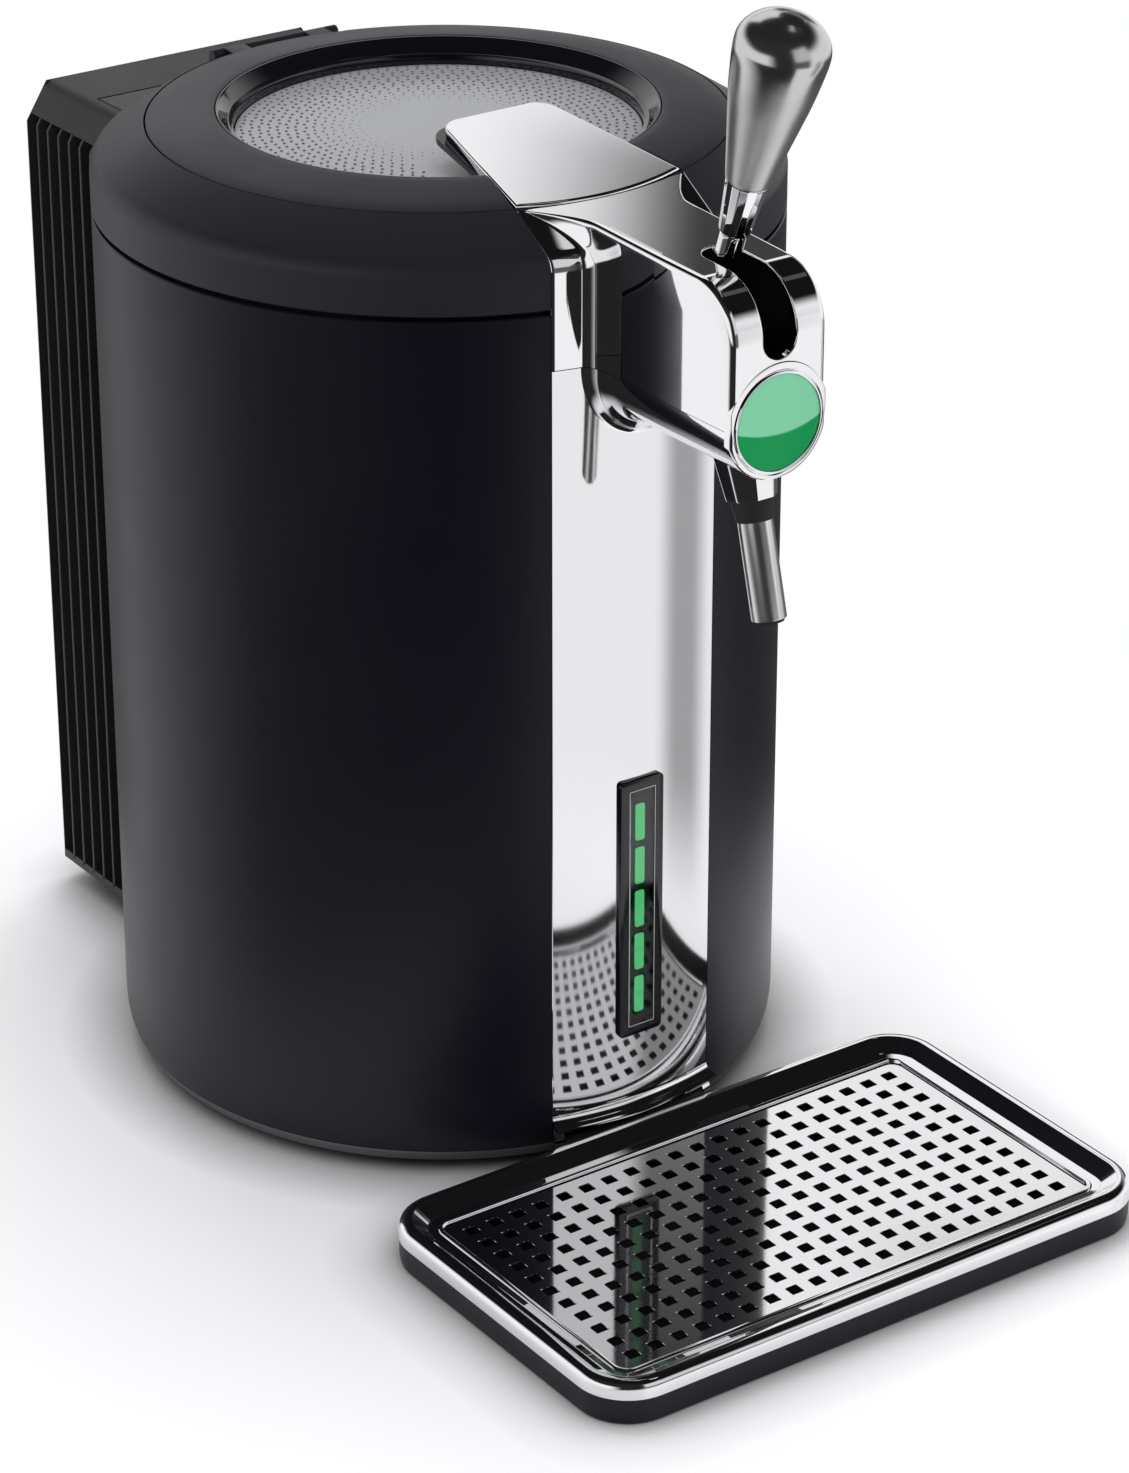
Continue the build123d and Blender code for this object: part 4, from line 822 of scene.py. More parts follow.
lip_outer = rounded_line([(135.1, 23.2), (135.2, 21.6), (137.4, 19.7), (140.3, 18.9)], [3.0, 4.0], 7)
lip_profile = [*lip_outer.tolist(), (140.5, 18.7), (140.5, 17.9), (140.2, 17.7), (136.6, 18.2),
               (134.4, 19.9), (133.5, 21.4), (133.4, 23.2)]
LIP_ANGLE = math.degrees(math.asin(PANEL_HALF / BARREL_R))
piece("flared_strip", turned_part(lip_profile, -LIP_ANGLE, LIP_ANGLE, 80), "dispenser", chrome,
      ["panel_lip"], sharp=40)

# %% Strip brackets
BRACKET_WIDTH = 4.2
bracket = []
foot_profile = [(133.5, 11.2), (136.6, 11.0), (137.4, 11.3), (137.6, 12.0), (137.0, 13.4), (136.2, 15.0),
                (135.8, 17.4), (133.5, 17.5)]
for side in (-1, 1):
    inner = math.degrees(math.asin((PANEL_HALF - BRACKET_WIDTH) / BARREL_R))
    angles = sorted((side * LIP_ANGLE, side * inner))
    bracket += turned_part(foot_profile, *angles, 8)
piece("strip_brackets", bracket, "dispenser", chrome, ["panel_feet"], sharp=40)

# %% [markdown]
# ## The tap's sides and flange
# The tap is one moulded and chromed shape: two flat sides that widen towards the barrel and run out into a
# flange that follows the barrel and the collar's bevel. Every height gives one line in plan: along the
# side, round a small hollow, and out along the flange. The hollow is a quadratic curve whose middle point
# is where the two tangents meet, so the mirror finish shows no kink there.
# %% Tap sides
BEND_Y, BEND_Z, ROUND, SPLIT_Y = -195.0, 370.6, 2.5, -171.0
BEND_LENGTH = NOSE_R * math.pi / 2
FLARE, FLARE_START, FLARE_RUN = 2.2, -148.5, 15.9
HOLLOW_ALONG, HOLLOW_OUT, FLANGE_STANDS = 5.5, 2.4, 0.15
SIDE_STEPS = 38


def smooth(t):
    """3t^2 - 2t^3 between 0 and 1."""
    t = np.clip(t, 0, 1)
    return t * t * (3 - 2 * t)


def flare(y):
    """A parabola that rises from 0 at FLARE_START to 1 where the tap meets the barrel."""
    return (np.clip(y - FLARE_START, 0, None) / FLARE_RUN) ** 2


def hollow(start, middle, end, t):
    """A quadratic curve from start to end; its two ends point at the middle point."""
    return (1 - t) ** 2 * start + 2 * t * (1 - t) * middle + t ** 2 * end


def tap_top(y):
    """The tap's top face falls slightly towards its nose."""
    return TAP_TOP_REAR + (TAP_TOP_REAR - TAP_TOP_FRONT) / 95 * (np.asarray(y, float) + 100)


def side_half(y, z):
    """Half-width of the tap: a parabola near the barrel low down, a faster flare near the seam."""
    low = TAP_HALF + FLARE * flare(y)
    high = TAP_HALF + 0.1177 * np.clip(y + 133, 0, None) ** 1.5
    share = smooth((z - 377) / 18)
    return low * (1 - share) + high * share


def root_y(z):
    """Where the side meets the flange: side_half^2 + y^2 = radius^2, halved 40 times."""
    radius = bevel_radius(z, FLANGE_STANDS)
    low, high = np.full_like(z, -150.0), np.full_like(z, -100.0)
    for _ in range(40):
        middle = (low + high) / 2
        outside = side_half(middle, z) ** 2 + middle ** 2 > radius ** 2
        low, high = np.where(outside, middle, low), np.where(outside, high, middle)
    return (low + high) / 2


def edge_round(y):
    """The rounding of the top edge: full along the tap, dying out at the seam."""
    return ROUND - (ROUND - 0.45) * smooth((y + 140) / 30)


def plan_lines(z, reach):
    """For each height, points along side, hollow and flange: arrays (heights, points) of x and y."""
    z = z[:, None]
    share = smooth((z - 379) / 15)
    end = root_y(z)
    along = HOLLOW_ALONG * (1 - 0.93 * share)
    out = HOLLOW_OUT * (1 - 0.9 * share)
    y_a = end - along
    s = np.linspace(0, 1, 26)[None, :] ** 0.8
    y_side = SPLIT_Y + (y_a - SPLIT_Y) * s
    x_side = side_half(y_side, z)
    x_a, x_b = side_half(y_a, z), side_half(end, z) + out
    radius = bevel_radius(z, FLANGE_STANDS)
    y_b = -np.sqrt(radius ** 2 - x_b ** 2)
    slope = (side_half(y_a, z) - side_half(y_a - 0.01, z)) / 0.01
    lean = x_b / -y_b
    x_c = (x_a + slope * (y_b - lean * x_b - y_a)) / (1 - slope * lean)
    y_c = y_b + lean * (x_c - x_b)
    t = np.linspace(0, 1, 13)[None, 1:]
    x_hollow, y_hollow = hollow(x_a, x_c, x_b, t), hollow(y_a, y_c, y_b, t)
    q = np.linspace(0, 1, 12)[None, 1:]
    x_flange = x_b + (reach - 0.5 - x_b) * q
    y_flange = -np.sqrt(radius ** 2 - x_flange ** 2)
    x_edge = reach - np.array([0.15, 0.0, 0.0])[None, :] + 0 * z
    drop = np.array([0.15, 0.5, 2.3])[None, :]
    y_edge = -np.sqrt((radius - drop) ** 2 - x_edge ** 2)
    x = np.concatenate([x_side, x_hollow, x_flange, x_edge], 1)
    return x, np.concatenate([y_side, y_hollow, y_flange, y_edge], 1)


def tap_side():
    """Rows up the right-hand side, then the rounded top edge: x in by r(1 - cos), z up by r sin."""
    share = np.concatenate([np.linspace(0, 0.62, 12), np.linspace(0.64, 1, 46)])
    _, top_y = plan_lines(np.array([394.5]), PANEL_HALF)
    limit = tap_top(top_y[0]) - edge_round(top_y[0])
    limit[SIDE_STEPS:] = limit[SIDE_STEPS - 1]
    rows = [plan_lines(np.array([PARTING_Z + q * (394.4 - PARTING_Z)]), PANEL_HALF) for q in share]
    x, y = np.concatenate([r[0] for r in rows]), np.concatenate([r[1] for r in rows])
    z = PARTING_Z + share[:, None] * (limit[None, :] - PARTING_Z)
    turn = np.radians(np.linspace(0, 90, 7))[1:, None]
    radius = edge_round(y[-1])[None, :]
    inward = np.where(np.arange(x.shape[1]) < SIDE_STEPS, 1.0, 0.0)[None, :]
    x_round = x[-1] - radius * (1 - np.cos(turn)) * inward
    z_round = z[-1] + radius * np.sin(turn)
    y_bevel = -np.sqrt(bevel_radius(z_round, FLANGE_STANDS) ** 2 - x[-1] ** 2)
    y_round = np.where(inward > 0, y[-1] + 0 * turn, np.maximum(y_bevel, y[-1]))
    return np.stack([np.vstack([x, x_round]), np.vstack([y, y_round]), np.vstack([z, z_round])], -1)


SIDE = tap_side()
print("tap side grid", SIDE.shape)

# %% [markdown]
# ## The tap's crown, nose and slot
# The top face, the bend and the front face are one strip that is flat across. Unrolled it is a flat
# drawing, and the lever's slot is a simple stadium on it. So the strip is worked out in unrolled
# coordinates, x across and u along, and rolled up at the end: u below 0 is the top face, then 34.6 mm of
# bend, then the front face. At the very end a taper draws the whole tap in a little towards its nose.
# %% Rolling the strip up
END_R, END_GAP = 22.7, 0.4
SLOT_REAR_Y = -182.7


def rolled(x, u, depth=0.0):
    """x and u to space: flat top, bend of radius 22 - depth about its centre, flat front."""
    turn = np.clip(u, 0, BEND_LENGTH) / NOSE_R
    y = BEND_Y - (NOSE_R - depth) * np.sin(turn) - np.minimum(u, 0)
    z = BEND_Z + (NOSE_R - depth) * np.cos(turn) - np.maximum(u - BEND_LENGTH, 0)
    z = np.where(u < 0, tap_top(y) - depth, z)
    return np.stack([x + 0 * u, y, z], -1)


def front_end(x):
    """Where the strip ends above the badge, as u: the end piece's circle and its gap, from the front."""
    rise = np.sqrt(np.maximum((END_R + END_GAP) ** 2 - np.asarray(x, float) ** 2, 0))
    return BEND_LENGTH + BEND_Z - PARTING_Z - rise


def stadium(radius, arcs=25, sides=81):
    """The slot as a loop in x and u, from the rear end clockwise: half circle, side, half circle, side."""
    rear, foot = BEND_Y - SLOT_REAR_Y, BEND_LENGTH - 0.4
    t = np.linspace(0, 1, sides)
    a, b = np.linspace(-math.pi / 2, math.pi / 2, arcs), np.linspace(math.pi / 2, -math.pi / 2, arcs)
    rear_arc = np.stack([radius * np.sin(a), rear - radius * np.cos(a)], -1)
    right_side = np.stack([np.full(sides, radius), rear + (foot - rear) * t], -1)
    foot_arc = np.stack([radius * np.sin(b), foot + radius * np.cos(b)], -1)
    left_side = np.stack([np.full(sides, -radius), foot + (rear - foot) * t], -1)
    return np.concatenate([rear_arc[:-1], right_side[:-1], foot_arc[:-1], left_side[:-1]])


def frame_loop(half, rear_u, arcs=25, sides=81):
    """The strip's outer edge as a loop matched to the stadium's points."""
    a, t = np.linspace(-1, 1, arcs), np.linspace(0, 1, sides)
    end = front_end(half)
    rear = np.stack([half * a, np.full(arcs, rear_u)], -1)
    right_side = np.stack([np.full(sides, half), rear_u + (end - rear_u) * t], -1)
    foot = np.stack([-half * a, front_end(half * a)], -1)
    left_side = np.stack([np.full(sides, -half), end + (rear_u - end) * t], -1)
    return np.concatenate([rear[:-1], right_side[:-1], foot[:-1], left_side[:-1]])


def strip_rings(half, rear_u, slot_radius, depth, steps=12):
    """Rings between the slot and the outer edge, in even steps, rolled up."""
    inner, outer = stadium(slot_radius), frame_loop(half, rear_u)
    share = np.concatenate([[0], np.linspace(0.04, 0.96, steps), [1]])[:, None, None]
    flat = inner * (1 - share) + outer * share
    return rolled(flat[..., 0], flat[..., 1], depth)


# %% Crown, slot rim, nose edges and nose sides
SLOT_R, REAR_U, RIM_ROUND, WALL = 7.7, BEND_Y - SPLIT_Y, 0.5, 2.6
NOSE_INSIDE = (NAN, -180, 350)
nose_strip = patch(strip_rings(TAP_HALF - ROUND, REAR_U, SLOT_R + RIM_ROUND, 0), NOSE_INSIDE, wrap_cols=True)
rim_turn = np.radians(np.linspace(0, 90, 5))
rim_steps = [(SLOT_R + RIM_ROUND * (1 - math.sin(a)), RIM_ROUND * (1 - math.cos(a))) for a in rim_turn]
rim_loops = np.array([rolled(*stadium(r).T, d) for r, d in rim_steps + [(SLOT_R, WALL)]])


def slot_rim():
    """The slot's rounded rim and wall, turned so that they face the slot's middle line."""
    points, faces = patch(rim_loops, NOSE_INSIDE, wrap_cols=True)
    corner = points[faces]
    normal = np.cross(corner[:, 2] - corner[:, 0], corner[:, 3] - corner[:, 1])
    facing = (normal[:, 0] * -corner[:, :, 0].mean(1)).sum() > 0
    return points, faces if facing else faces[:, ::-1]


def nose_edge(sign):
    """The rounded edge from the strip to the flat side: x out by r sin, in by depth r(1 - cos)."""
    turn = np.radians(np.linspace(0, 90, 7))[:, None]
    x = TAP_HALF - ROUND + ROUND * np.sin(turn)
    u = REAR_U + (front_end(x) - REAR_U) * np.linspace(0, 1, 81)[None, :]
    depth = ROUND * (1 - np.cos(turn)) + 0 * u
    return rolled(x + 0 * u, u, depth) * (sign, 1, 1)


def nose_side(sign):
    """The flat side below the bend: lines from the edge down to the parting line, all in one plane."""
    top = nose_edge(1)[-1]
    t = np.linspace(0, 1, 81)
    y = SPLIT_Y + (TAP_FRONT + 4.1 - SPLIT_Y) * t
    foot = np.stack([np.full(81, TAP_HALF), y, np.full(81, PARTING_Z)], -1)
    q = np.linspace(0, 1, 5)[:, None, None]
    return (top * (1 - q) + foot * q) * (sign, 1, 1)


SEAM_END_R = 113.8


def crown_rear():
    """The flat top from the split back to the seam: lines across, bowed more and more like the seam."""
    edge = SIDE[-1][:SIDE_STEPS]
    t = (edge[:, 1] - SPLIT_Y) / (edge[-1, 1] - SPLIT_Y)
    v = np.linspace(-1, 1, 25)
    corner = math.hypot(edge[-1, 0], edge[-1, 1])
    radius = SEAM_END_R + (corner - SEAM_END_R) * smooth((np.abs(v) - 0.9) / 0.1)
    end = -np.sqrt(radius ** 2 - (v * edge[-1, 0]) ** 2)
    x = edge[:, :1] * v
    y = SPLIT_Y + t[:, None] * (end - SPLIT_Y)
    return np.stack([x, y, tap_top(y)], -1)


TAPER_START, TAPER_EASE, TAPER_SHARE = -163.0, 14, 0.0009


def taper(part):
    """Narrows the tap towards its nose: x shrinks by 0.09 % per millimetre, eased in over 14 mm."""
    points, faces = part
    ahead = np.clip(TAPER_START - points[:, 1], 0, None)
    ahead = np.where(ahead < TAPER_EASE, ahead ** 2 / (2 * TAPER_EASE), ahead - TAPER_EASE / 2)
    narrow = points.copy()
    narrow[:, 0] *= 1 - TAPER_SHARE * ahead
    return narrow, faces


crown = crown_rear()
seam_wall = np.stack([crown[-1], crown[-1] + (0, 0.15, -0.15), crown[-1] + (0, 0.15, -3.0)])
inside_tap = (0, -160, 365)
shell = [patch(grid, inside_tap) for grid in (SIDE, SIDE * (-1, 1, 1), crown, seam_wall)]
shell += [nose_strip, slot_rim()]
for sign in (-1, 1):
    shell += [patch(nose_edge(sign), inside_tap), patch(nose_side(sign), inside_tap)]
shell = [taper(part) for part in shell]
piece("tap_shell", shell, "dispenser", chrome, ["tap_upper_shell"], sharp=38)

# %% [markdown]
# Inside, the shell is bare black plastic. A closed box with the same slot in its roof stands a wall's
# thickness behind the chrome, so the slot looks into darkness. Its rear wall leaves the plunger room to
# slide.
# %% Inside of the tap
BOX_HALF, BOX_FLOOR, BOX_FRONT, BOX_REAR = 19.4, 341.0, -214.3, -156.6
box_roof = strip_rings(BOX_HALF, -35.0, SLOT_R, WALL, 6)
roof_points, roof_faces = patch(box_roof, NOSE_INSIDE, wrap_cols=True)
walls = [(roof_points, roof_faces[:, ::-1])]
for sign in (-1, 1):
    outline = [*box_roof[-1][24:105], (BOX_HALF, BOX_FRONT, BOX_FLOOR), (BOX_HALF, BOX_REAR, BOX_FLOOR)]
    walls.append(cap(np.array(outline) * (sign, 1, 1), (40 * sign, -190, 360)))


def across(y, z):
    """The two ends of a line across the box."""
    return [(-BOX_HALF, y, z), (BOX_HALF, y, z)]


rear_foot = across(BOX_REAR, BOX_FLOOR)
walls.append(patch([rear_foot, across(BOX_REAR, tap_top(BOX_REAR) - WALL)], (0, -100, 366)))
walls.append(patch([rear_foot, across(BOX_FRONT, BOX_FLOOR)], (0, -190, 200)))
piece("tap_inside", walls, "dispenser", black_plastic)

# %% [markdown]
# ## The tap's lower shell
# Below the parting line the tap is half an ellipse in section. Its depth grows towards the barrel, and it
# ends in the same small hollow as the sides, so the hollow runs round the whole tap in one sweep.
# %% Lower shell
BELLY, UNDER_R, UNDER_GAP = 9.0, 135.1, 0.2


def lower_shell():
    """Rows along the tap, columns round the half ellipse: x = a cos f, z = parting - b sin f."""
    turn = np.radians(np.linspace(0, 180, 73))[None, :]

    def section(y, grow=0.0):
        a, b = side_half(y, np.full_like(y, PARTING_Z)), TAP_HALF + BELLY * flare(y)
        return (a + grow) * np.cos(turn), PARTING_Z - UNDER_GAP - (b + grow) * np.sin(turn)

    end = -np.sqrt(UNDER_R ** 2 - ((TAP_HALF + FLARE) * np.cos(turn)) ** 2)
    y_a = end - HOLLOW_ALONG
    s = np.concatenate([np.linspace(0, 0.75, 6), np.linspace(0.78, 1, 14)])[:, None]
    y = TAP_FRONT + 4.0 + (y_a - TAP_FRONT - 4.0) * s
    x, z = section(y)
    x_c, z_c = section(end)
    x_b, z_b = section(end, HOLLOW_OUT)
    y_b = -np.sqrt((UNDER_R + 0.06) ** 2 - x_b ** 2)
    t = np.linspace(0, 1, 13)[1:, None, None]
    corners = ((x[-1:], y_a, z[-1:]), (x_c, end - 0.6, z_c), (x_b, y_b, z_b))
    a, c, b = (np.stack(np.broadcast_arrays(*corner), -1)[0] for corner in corners)
    grid = np.concatenate([np.stack(np.broadcast_arrays(x, y, z), -1), hollow(a, c, b, t)])
    return np.concatenate([grid, grid[-1:] + (0, 0.5, 0)])


underside = taper(patch(lower_shell(), (0, -160, 345)))
piece("tap_underside", [underside], "dispenser", chrome, ["tap_lower_shell"], sharp=38)

# %% [markdown]
# ## The round end with its badge
# The end piece is a disc cut by the tap's two flat sides. A thin bright ring holds a domed green disc whose
# upper part is a painted reflection in paler green. Each is drawn lying flat, as a turned or shrinking
# outline, and then stood up to face forwards.
# %% Badge
STAND_UP = axes("xzY", (0, 0, PARTING_Z))


def stood(parts):
    """Parts drawn lying flat, with height along -y, stood up about the badge's middle."""
    return [(STAND_UP(points), faces) for points, faces in parts]


FLAT_HALF, END_BACK, BADGE_POINTS = 21.25, 213.0, 192


def end_piece():
    """Rings of the end piece from its back edge round to the recess of the badge, closed at the back."""
    turn = np.linspace(0, 2 * math.pi, BADGE_POINTS, endpoint=False)
    upper = smooth(np.sin(turn) * 4 + 0.5)
    radius = 22.05 + 0.65 * upper
    outline = np.stack([np.clip(radius * np.cos(turn), -FLAT_HALF, FLAT_HALF), radius * np.sin(turn)], -1)
    soft = (1.3 - 1.0 * upper)[:, None]
    level = np.ones((BADGE_POINTS, 1))
    rings = [(outline * 0.0, END_BACK * level), (outline, END_BACK * level)]
    for a in np.radians(np.linspace(0, 90, 6)):
        rings.append((outline * (1 - soft * (1 - math.cos(a)) / 22), -TAP_FRONT - soft * (1 - math.sin(a))))
    circle = np.stack([np.cos(turn), np.sin(turn)], -1)
    for r, height in ((20.2, 217.0), (20.0, 216.85), (20.0, 215.5), (0.0, 215.5)):
        rings.append((circle * r, height * level))
    return [patch(np.array([np.hstack(ring) for ring in rings]), (0, 0, 214.4), wrap_cols=True)]


def turned_flat(profile, inside):
    """A (radius, height) line turned about the badge's middle."""
    return [spin(profile, inside, 144)]


def dome_height(r):
    """The disc's dome: a shallow paraboloid whose border falls away faster."""
    return 218.6 - r * r / 240 - 0.25 * max(0, (r - 17.4)) ** 2


piece("badge_mount", stood(end_piece()), "dispenser", chrome, ["badge_base"])
ring_profile = [(18.45, 215.8), (19.5, 215.8), (19.5, 217.2), (19.35, 217.42), (19.1, 217.5),
                (18.75, 217.45), (18.5, 217.25), (18.45, 217.0), (18.45, 215.8)]
piece("badge_bright_ring", stood(turned_flat(ring_profile, (0, 0, 214))), "dispenser", chrome,
      ["badge_ring"])
dome = [(0, 215.6), (18.4, 215.6), (18.4, 216.9), *((r, dome_height(r)) for r in np.linspace(18.4, 0, 24))]

# %% [markdown]
# The disc is deep green with a soft shine. Its paler upper part is a painted reflection, a lighter green
# that meets the deep green along a gentle curve. The shader gets the curve from the height plus a share of
# the square of x, in the piece's own coordinates.
# %% Deep green and a painted reflection
# The pale green is a painted reflection: it makes the dome's upper part lighter in colour, standing in for a
# highlight.
DEEP_GREEN, REFLECTION_GREEN = (0.0003, 0.22, 0.058), (0.17, 0.48, 0.29)
CURVE, CURVE_LOW, CURVE_HIGH = -9.0, 0.3350, 0.3358
badge_green_painted_reflection = finish("badge_green_painted_reflection", DEEP_GREEN, rough=(0.16, 0.20), specular=0.15)
tree = badge_green_painted_reflection.node_tree
do, (x, _, z) = arithmetic(tree), position(tree)
height = do("ADD", do("MULTIPLY", do("POWER", x, 2.0), CURVE), z)
green_and_painted_reflection = blend(tree, eased(tree, height, CURVE_LOW, CURVE_HIGH, 0.0, 1.0, kind="LINEAR"), DEEP_GREEN,
               REFLECTION_GREEN)
tree.links.new(green_and_painted_reflection, tree.nodes["Principled BSDF"].inputs["Base Color"])
piece("badge_dome", stood(turned_flat(dome, (0, 0, 216.2))), "dispenser", badge_green_painted_reflection,
      ["badge_disc"])

# %% [markdown]
# ## The spout
# A faceted chrome collar, a rubber ring, a brushed steel tube and the dark sleeve at its mouth. All four
# are drawn upright and then tilted by fifteen degrees. An eight-sided section with slightly rounded corners
# is a circle whose radius is divided by the cosine of the angle to the nearest flat.
# %% Spout
SPOUT_PLACE, SPOUT_TILT = (0, -204.3, 297.0), -15.0


def facets(profile, sides, corner, turns=192):
    """A turned line with flats: radius / cos(angle from the flat's middle), cut short at the corners."""
    profile = np.asarray(profile, float)
    angle = np.linspace(0, 2 * math.pi, turns, endpoint=False)
    step = 2 * math.pi / sides
    off = (angle / step + 0.5) % 1 - 0.5
    flat = 1 / np.cos(off * step)
    tip = 1 / math.cos(step / 2)
    r = profile[:, :1] * np.minimum(flat, tip - corner * (tip - 1))
    grid = np.stack([r * np.sin(angle), -r * np.cos(angle), profile[:, 1:] + 0 * angle], -1)
    return patch(grid, (0, 0, NAN), wrap_cols=True)


def leaned(parts, place, tilt):
    """Turns finished patches about the origin and moves them into place."""
    return [turn_about(part, place, tilt) for part in parts]


collar_line = [(6.8, 8.3), (8.6, 8.3), (8.95, 8.45), (9.1, 8.8), (12.6, 34.0), (12.9, 36.3), (6.8, 36.3),
               (6.8, 8.3)]
piece("spout_collar_facets", leaned([facets(collar_line, 8, 0.25)], SPOUT_PLACE, SPOUT_TILT), "dispenser",
      chrome, ["spout_collar"], sharp=20)
seal_line = [(6.65, 0.0), (6.85, 0.0), (7.05, 0.15), (8.15, 7.9), (8.15, 8.2), (6.65, 8.2), (6.65, 0.0)]
piece("spout_rubber", leaned([spin(seal_line, (0, 0, NAN), 96)], SPOUT_PLACE, SPOUT_TILT), "dispenser",
      rubber, ["spout_seal"])
tube_line = [(5.6, -37.2), (6.25, -37.2), (6.5, -37.05), (6.6, -36.7), (6.6, 34.0), (5.6, 34.0),
             (5.6, -37.2)]
piece("spout_brushed_tube", leaned([spin(tube_line, (0, 0, NAN), 128)], SPOUT_PLACE, SPOUT_TILT),
      "dispenser", spout_steel, ["spout_tube"])
sleeve_line = [(4.6, -38.2), (5.35, -38.4), (5.55, -38.2), (5.55, -29.4), (4.6, -29.4), (4.6, -38.2)]
piece("spout_sleeve", leaned([spin(sleeve_line, (0, 0, NAN), 96)], SPOUT_PLACE, SPOUT_TILT), "dispenser",
      rubber, ["spout_tip"])

# %% [markdown]
# ## The lever
# A round hub, a stem with ten soft flats, a neck with sixteen flats, and a pewter knob that swells from a
# narrow foot to a ball. The knob's width is read off at six heights, and a moving average over its points
# takes out the corners between them, so that the taper runs into the ball without a joint. The polish
# changes along it: satin on the taper, brighter on the ball.
# %% Lever
LEVER_PLACE, LEAN = (0, -176.0, 365.5), 19.1
hub_line = [(2.56, -7.2), (7.6, -7.2), (8.0, -6.8), (8.0, 6.8), (7.6, 7.2), (2.56, 7.2), (2.56, -7.2)]
hub_points, hub_faces = spin(hub_line, (0, 0, NAN), 96)
hub = (hub_points[:, [2, 1, 0]] * (1, 1, -1), hub_faces)
stem_line = [(0.0, 5.0), (4.8, 5.0), (4.8, 39.4), (5.2, 39.9), (5.2, 40.8), (0.0, 40.8)]
neck_line = [(0.0, 40.3), (5.2, 40.3), (5.7, 40.7), (5.95, 41.6), (7.75, 61.4), (7.9, 62.4), (7.6, 62.8),
             (0.0, 62.8)]
piece("lever_hub_and_stem", leaned([hub, facets(stem_line, 10, 0.5, 120)], LEVER_PLACE, LEAN), "lever",
      chrome, ["lever_stem"], sharp=24)
piece("lever_neck_facets", leaned([facets(neck_line, 16, 0.2, 256)], LEVER_PLACE, LEAN), "lever",
      chrome, ["lever_neck"], sharp=20)


TAPER_Z, BALL_Z, TAPER_R, BALL_R, DOME_RISE = 63.3, 118.5, 8.4, 17.5, 12.8
WIDTH_HEIGHTS = [TAPER_Z, 76.0, 88.5, 100.0, 112.0, BALL_Z]
WIDTHS = [TAPER_R, 10.75, 13.2, 15.45, 17.0, BALL_R]


def knob_line():
    """Foot, taper and dome: from the widest point on, the radius follows a squashed quarter circle."""
    height = np.linspace(TAPER_Z, BALL_Z, 60)
    swell = np.linspace(0, 1, 60) * math.pi / 2 * 0.62
    curved = TAPER_R + (BALL_R - TAPER_R) * np.sin(swell) / math.sin(swell[-1])
    width = 0.25 * curved + 0.75 * np.interp(height, WIDTH_HEIGHTS, WIDTHS)
    turn = np.linspace(0, math.pi / 2, 40)[1:]
    foot = [(0.0, 62.85), (7.7, 62.85), (8.15, 62.95), (8.35, 63.15)]
    dome = zip(BALL_R * np.cos(turn), BALL_Z + DOME_RISE * np.sin(turn))
    return np.array([*foot, *zip(width, height), *dome])


def averaged(line, window=9):
    """Each point of a line replaced by the mean of the points around it."""
    reach = window // 2
    padded = np.pad(line, ((reach, reach), (0, 0)), mode="edge")
    return np.stack([np.convolve(padded[:, k], np.ones(window) / window, mode="valid") for k in (0, 1)], -1)


knob_points = knob_line()
knob_points[10:-8] = averaged(knob_points[4:-1])[6:-7]
knob_points[-1] = (0.0, BALL_Z + DOME_RISE)
pewter = finish("pewter", (0.58, 0.58, 0.562), metallic=1.0, scratches=(2200, 2200, 60), bump=0.012)
SATIN_TOP, POLISH_FOOT, SATIN, POLISHED = 0.458, 0.474, 0.30, 0.18
tree = pewter.node_tree
polish = eased(tree, position(tree)[2], SATIN_TOP, POLISH_FOOT, SATIN, POLISHED)
tree.links.new(polish, tree.nodes["Principled BSDF"].inputs["Roughness"])
piece("lever_handle", leaned([spin(knob_points, (0, 0, 100), 160)], LEVER_PLACE, LEAN), "lever",
      pewter, ["lever_knob"], sharp=50)

# %% [markdown]
# ## The latch
# A sloping chromed plate with two straight sides, round rear corners and a front edge that follows the
# seam. Its outline is raised to a plate with softened edges and then sheared onto the slope. Under it sit a
# wider dark grip and a short leg.
# %% Latch
FLAP_FRONT_R, FLAP_REAR_Y, FLAP_T, PIN_Y, PIN_Z = 112.2, -36.5, 4.0, -105.0, 389.2
GRIP_FRONT_Y, GRIP_TOP, GRIP_FOOT, LEG_FOOT = -74.0, -4.05, -6.6, -9.9


def slope(points):
    """Shears a flat plate onto the latch's slope."""
    return points + np.stack([0 * points[:, 0], 0 * points[:, 0], latch_top(points[:, 1])], -1)


def plate_outline(grow=0.0, corner=9.0):
    """Front arc, straight side, rounded rear corner, rear line: one half, then its mirror image."""
    x = np.linspace(-FLAP_FRONT_HALF - grow, FLAP_FRONT_HALF + grow, 41)
    front = np.stack([x, -np.sqrt((FLAP_FRONT_R + grow) ** 2 - x ** 2)], -1)
    rear = FLAP_REAR_Y + grow
    line = [(FLAP_FRONT_HALF + grow, FLAP_CORNER_Y), (FLAP_REAR_HALF + grow, rear), (0.0, rear)]
    half = rounded_line(line, [corner], 16)[1:-1]
    return np.concatenate([front, half, (half * (-1, 1))[::-1]])


plate = prism(plate_outline(), -FLAP_T, 0.0, 0.5, 1.1, slope, steps=6)
knuckle_outline = np.concatenate([arc((0, 0), 2.9, 180, 360, 25), [(2.4, 1.9), (-2.4, 1.9)]])
knuckle = prism(knuckle_outline, -18, 18, 0.2, 0.2, axes("yzx", (0, PIN_Y, PIN_Z)))
tongue = prism(rounded_rect(3.0, 16.0, 0.5, 4), 377.0, 390.0, 0.4, 0.0, axes("yxz", (0, PIN_Y, 0)))
piece("latch_flap", plate + knuckle + tongue, "latch", chrome, ["latch_plate"])

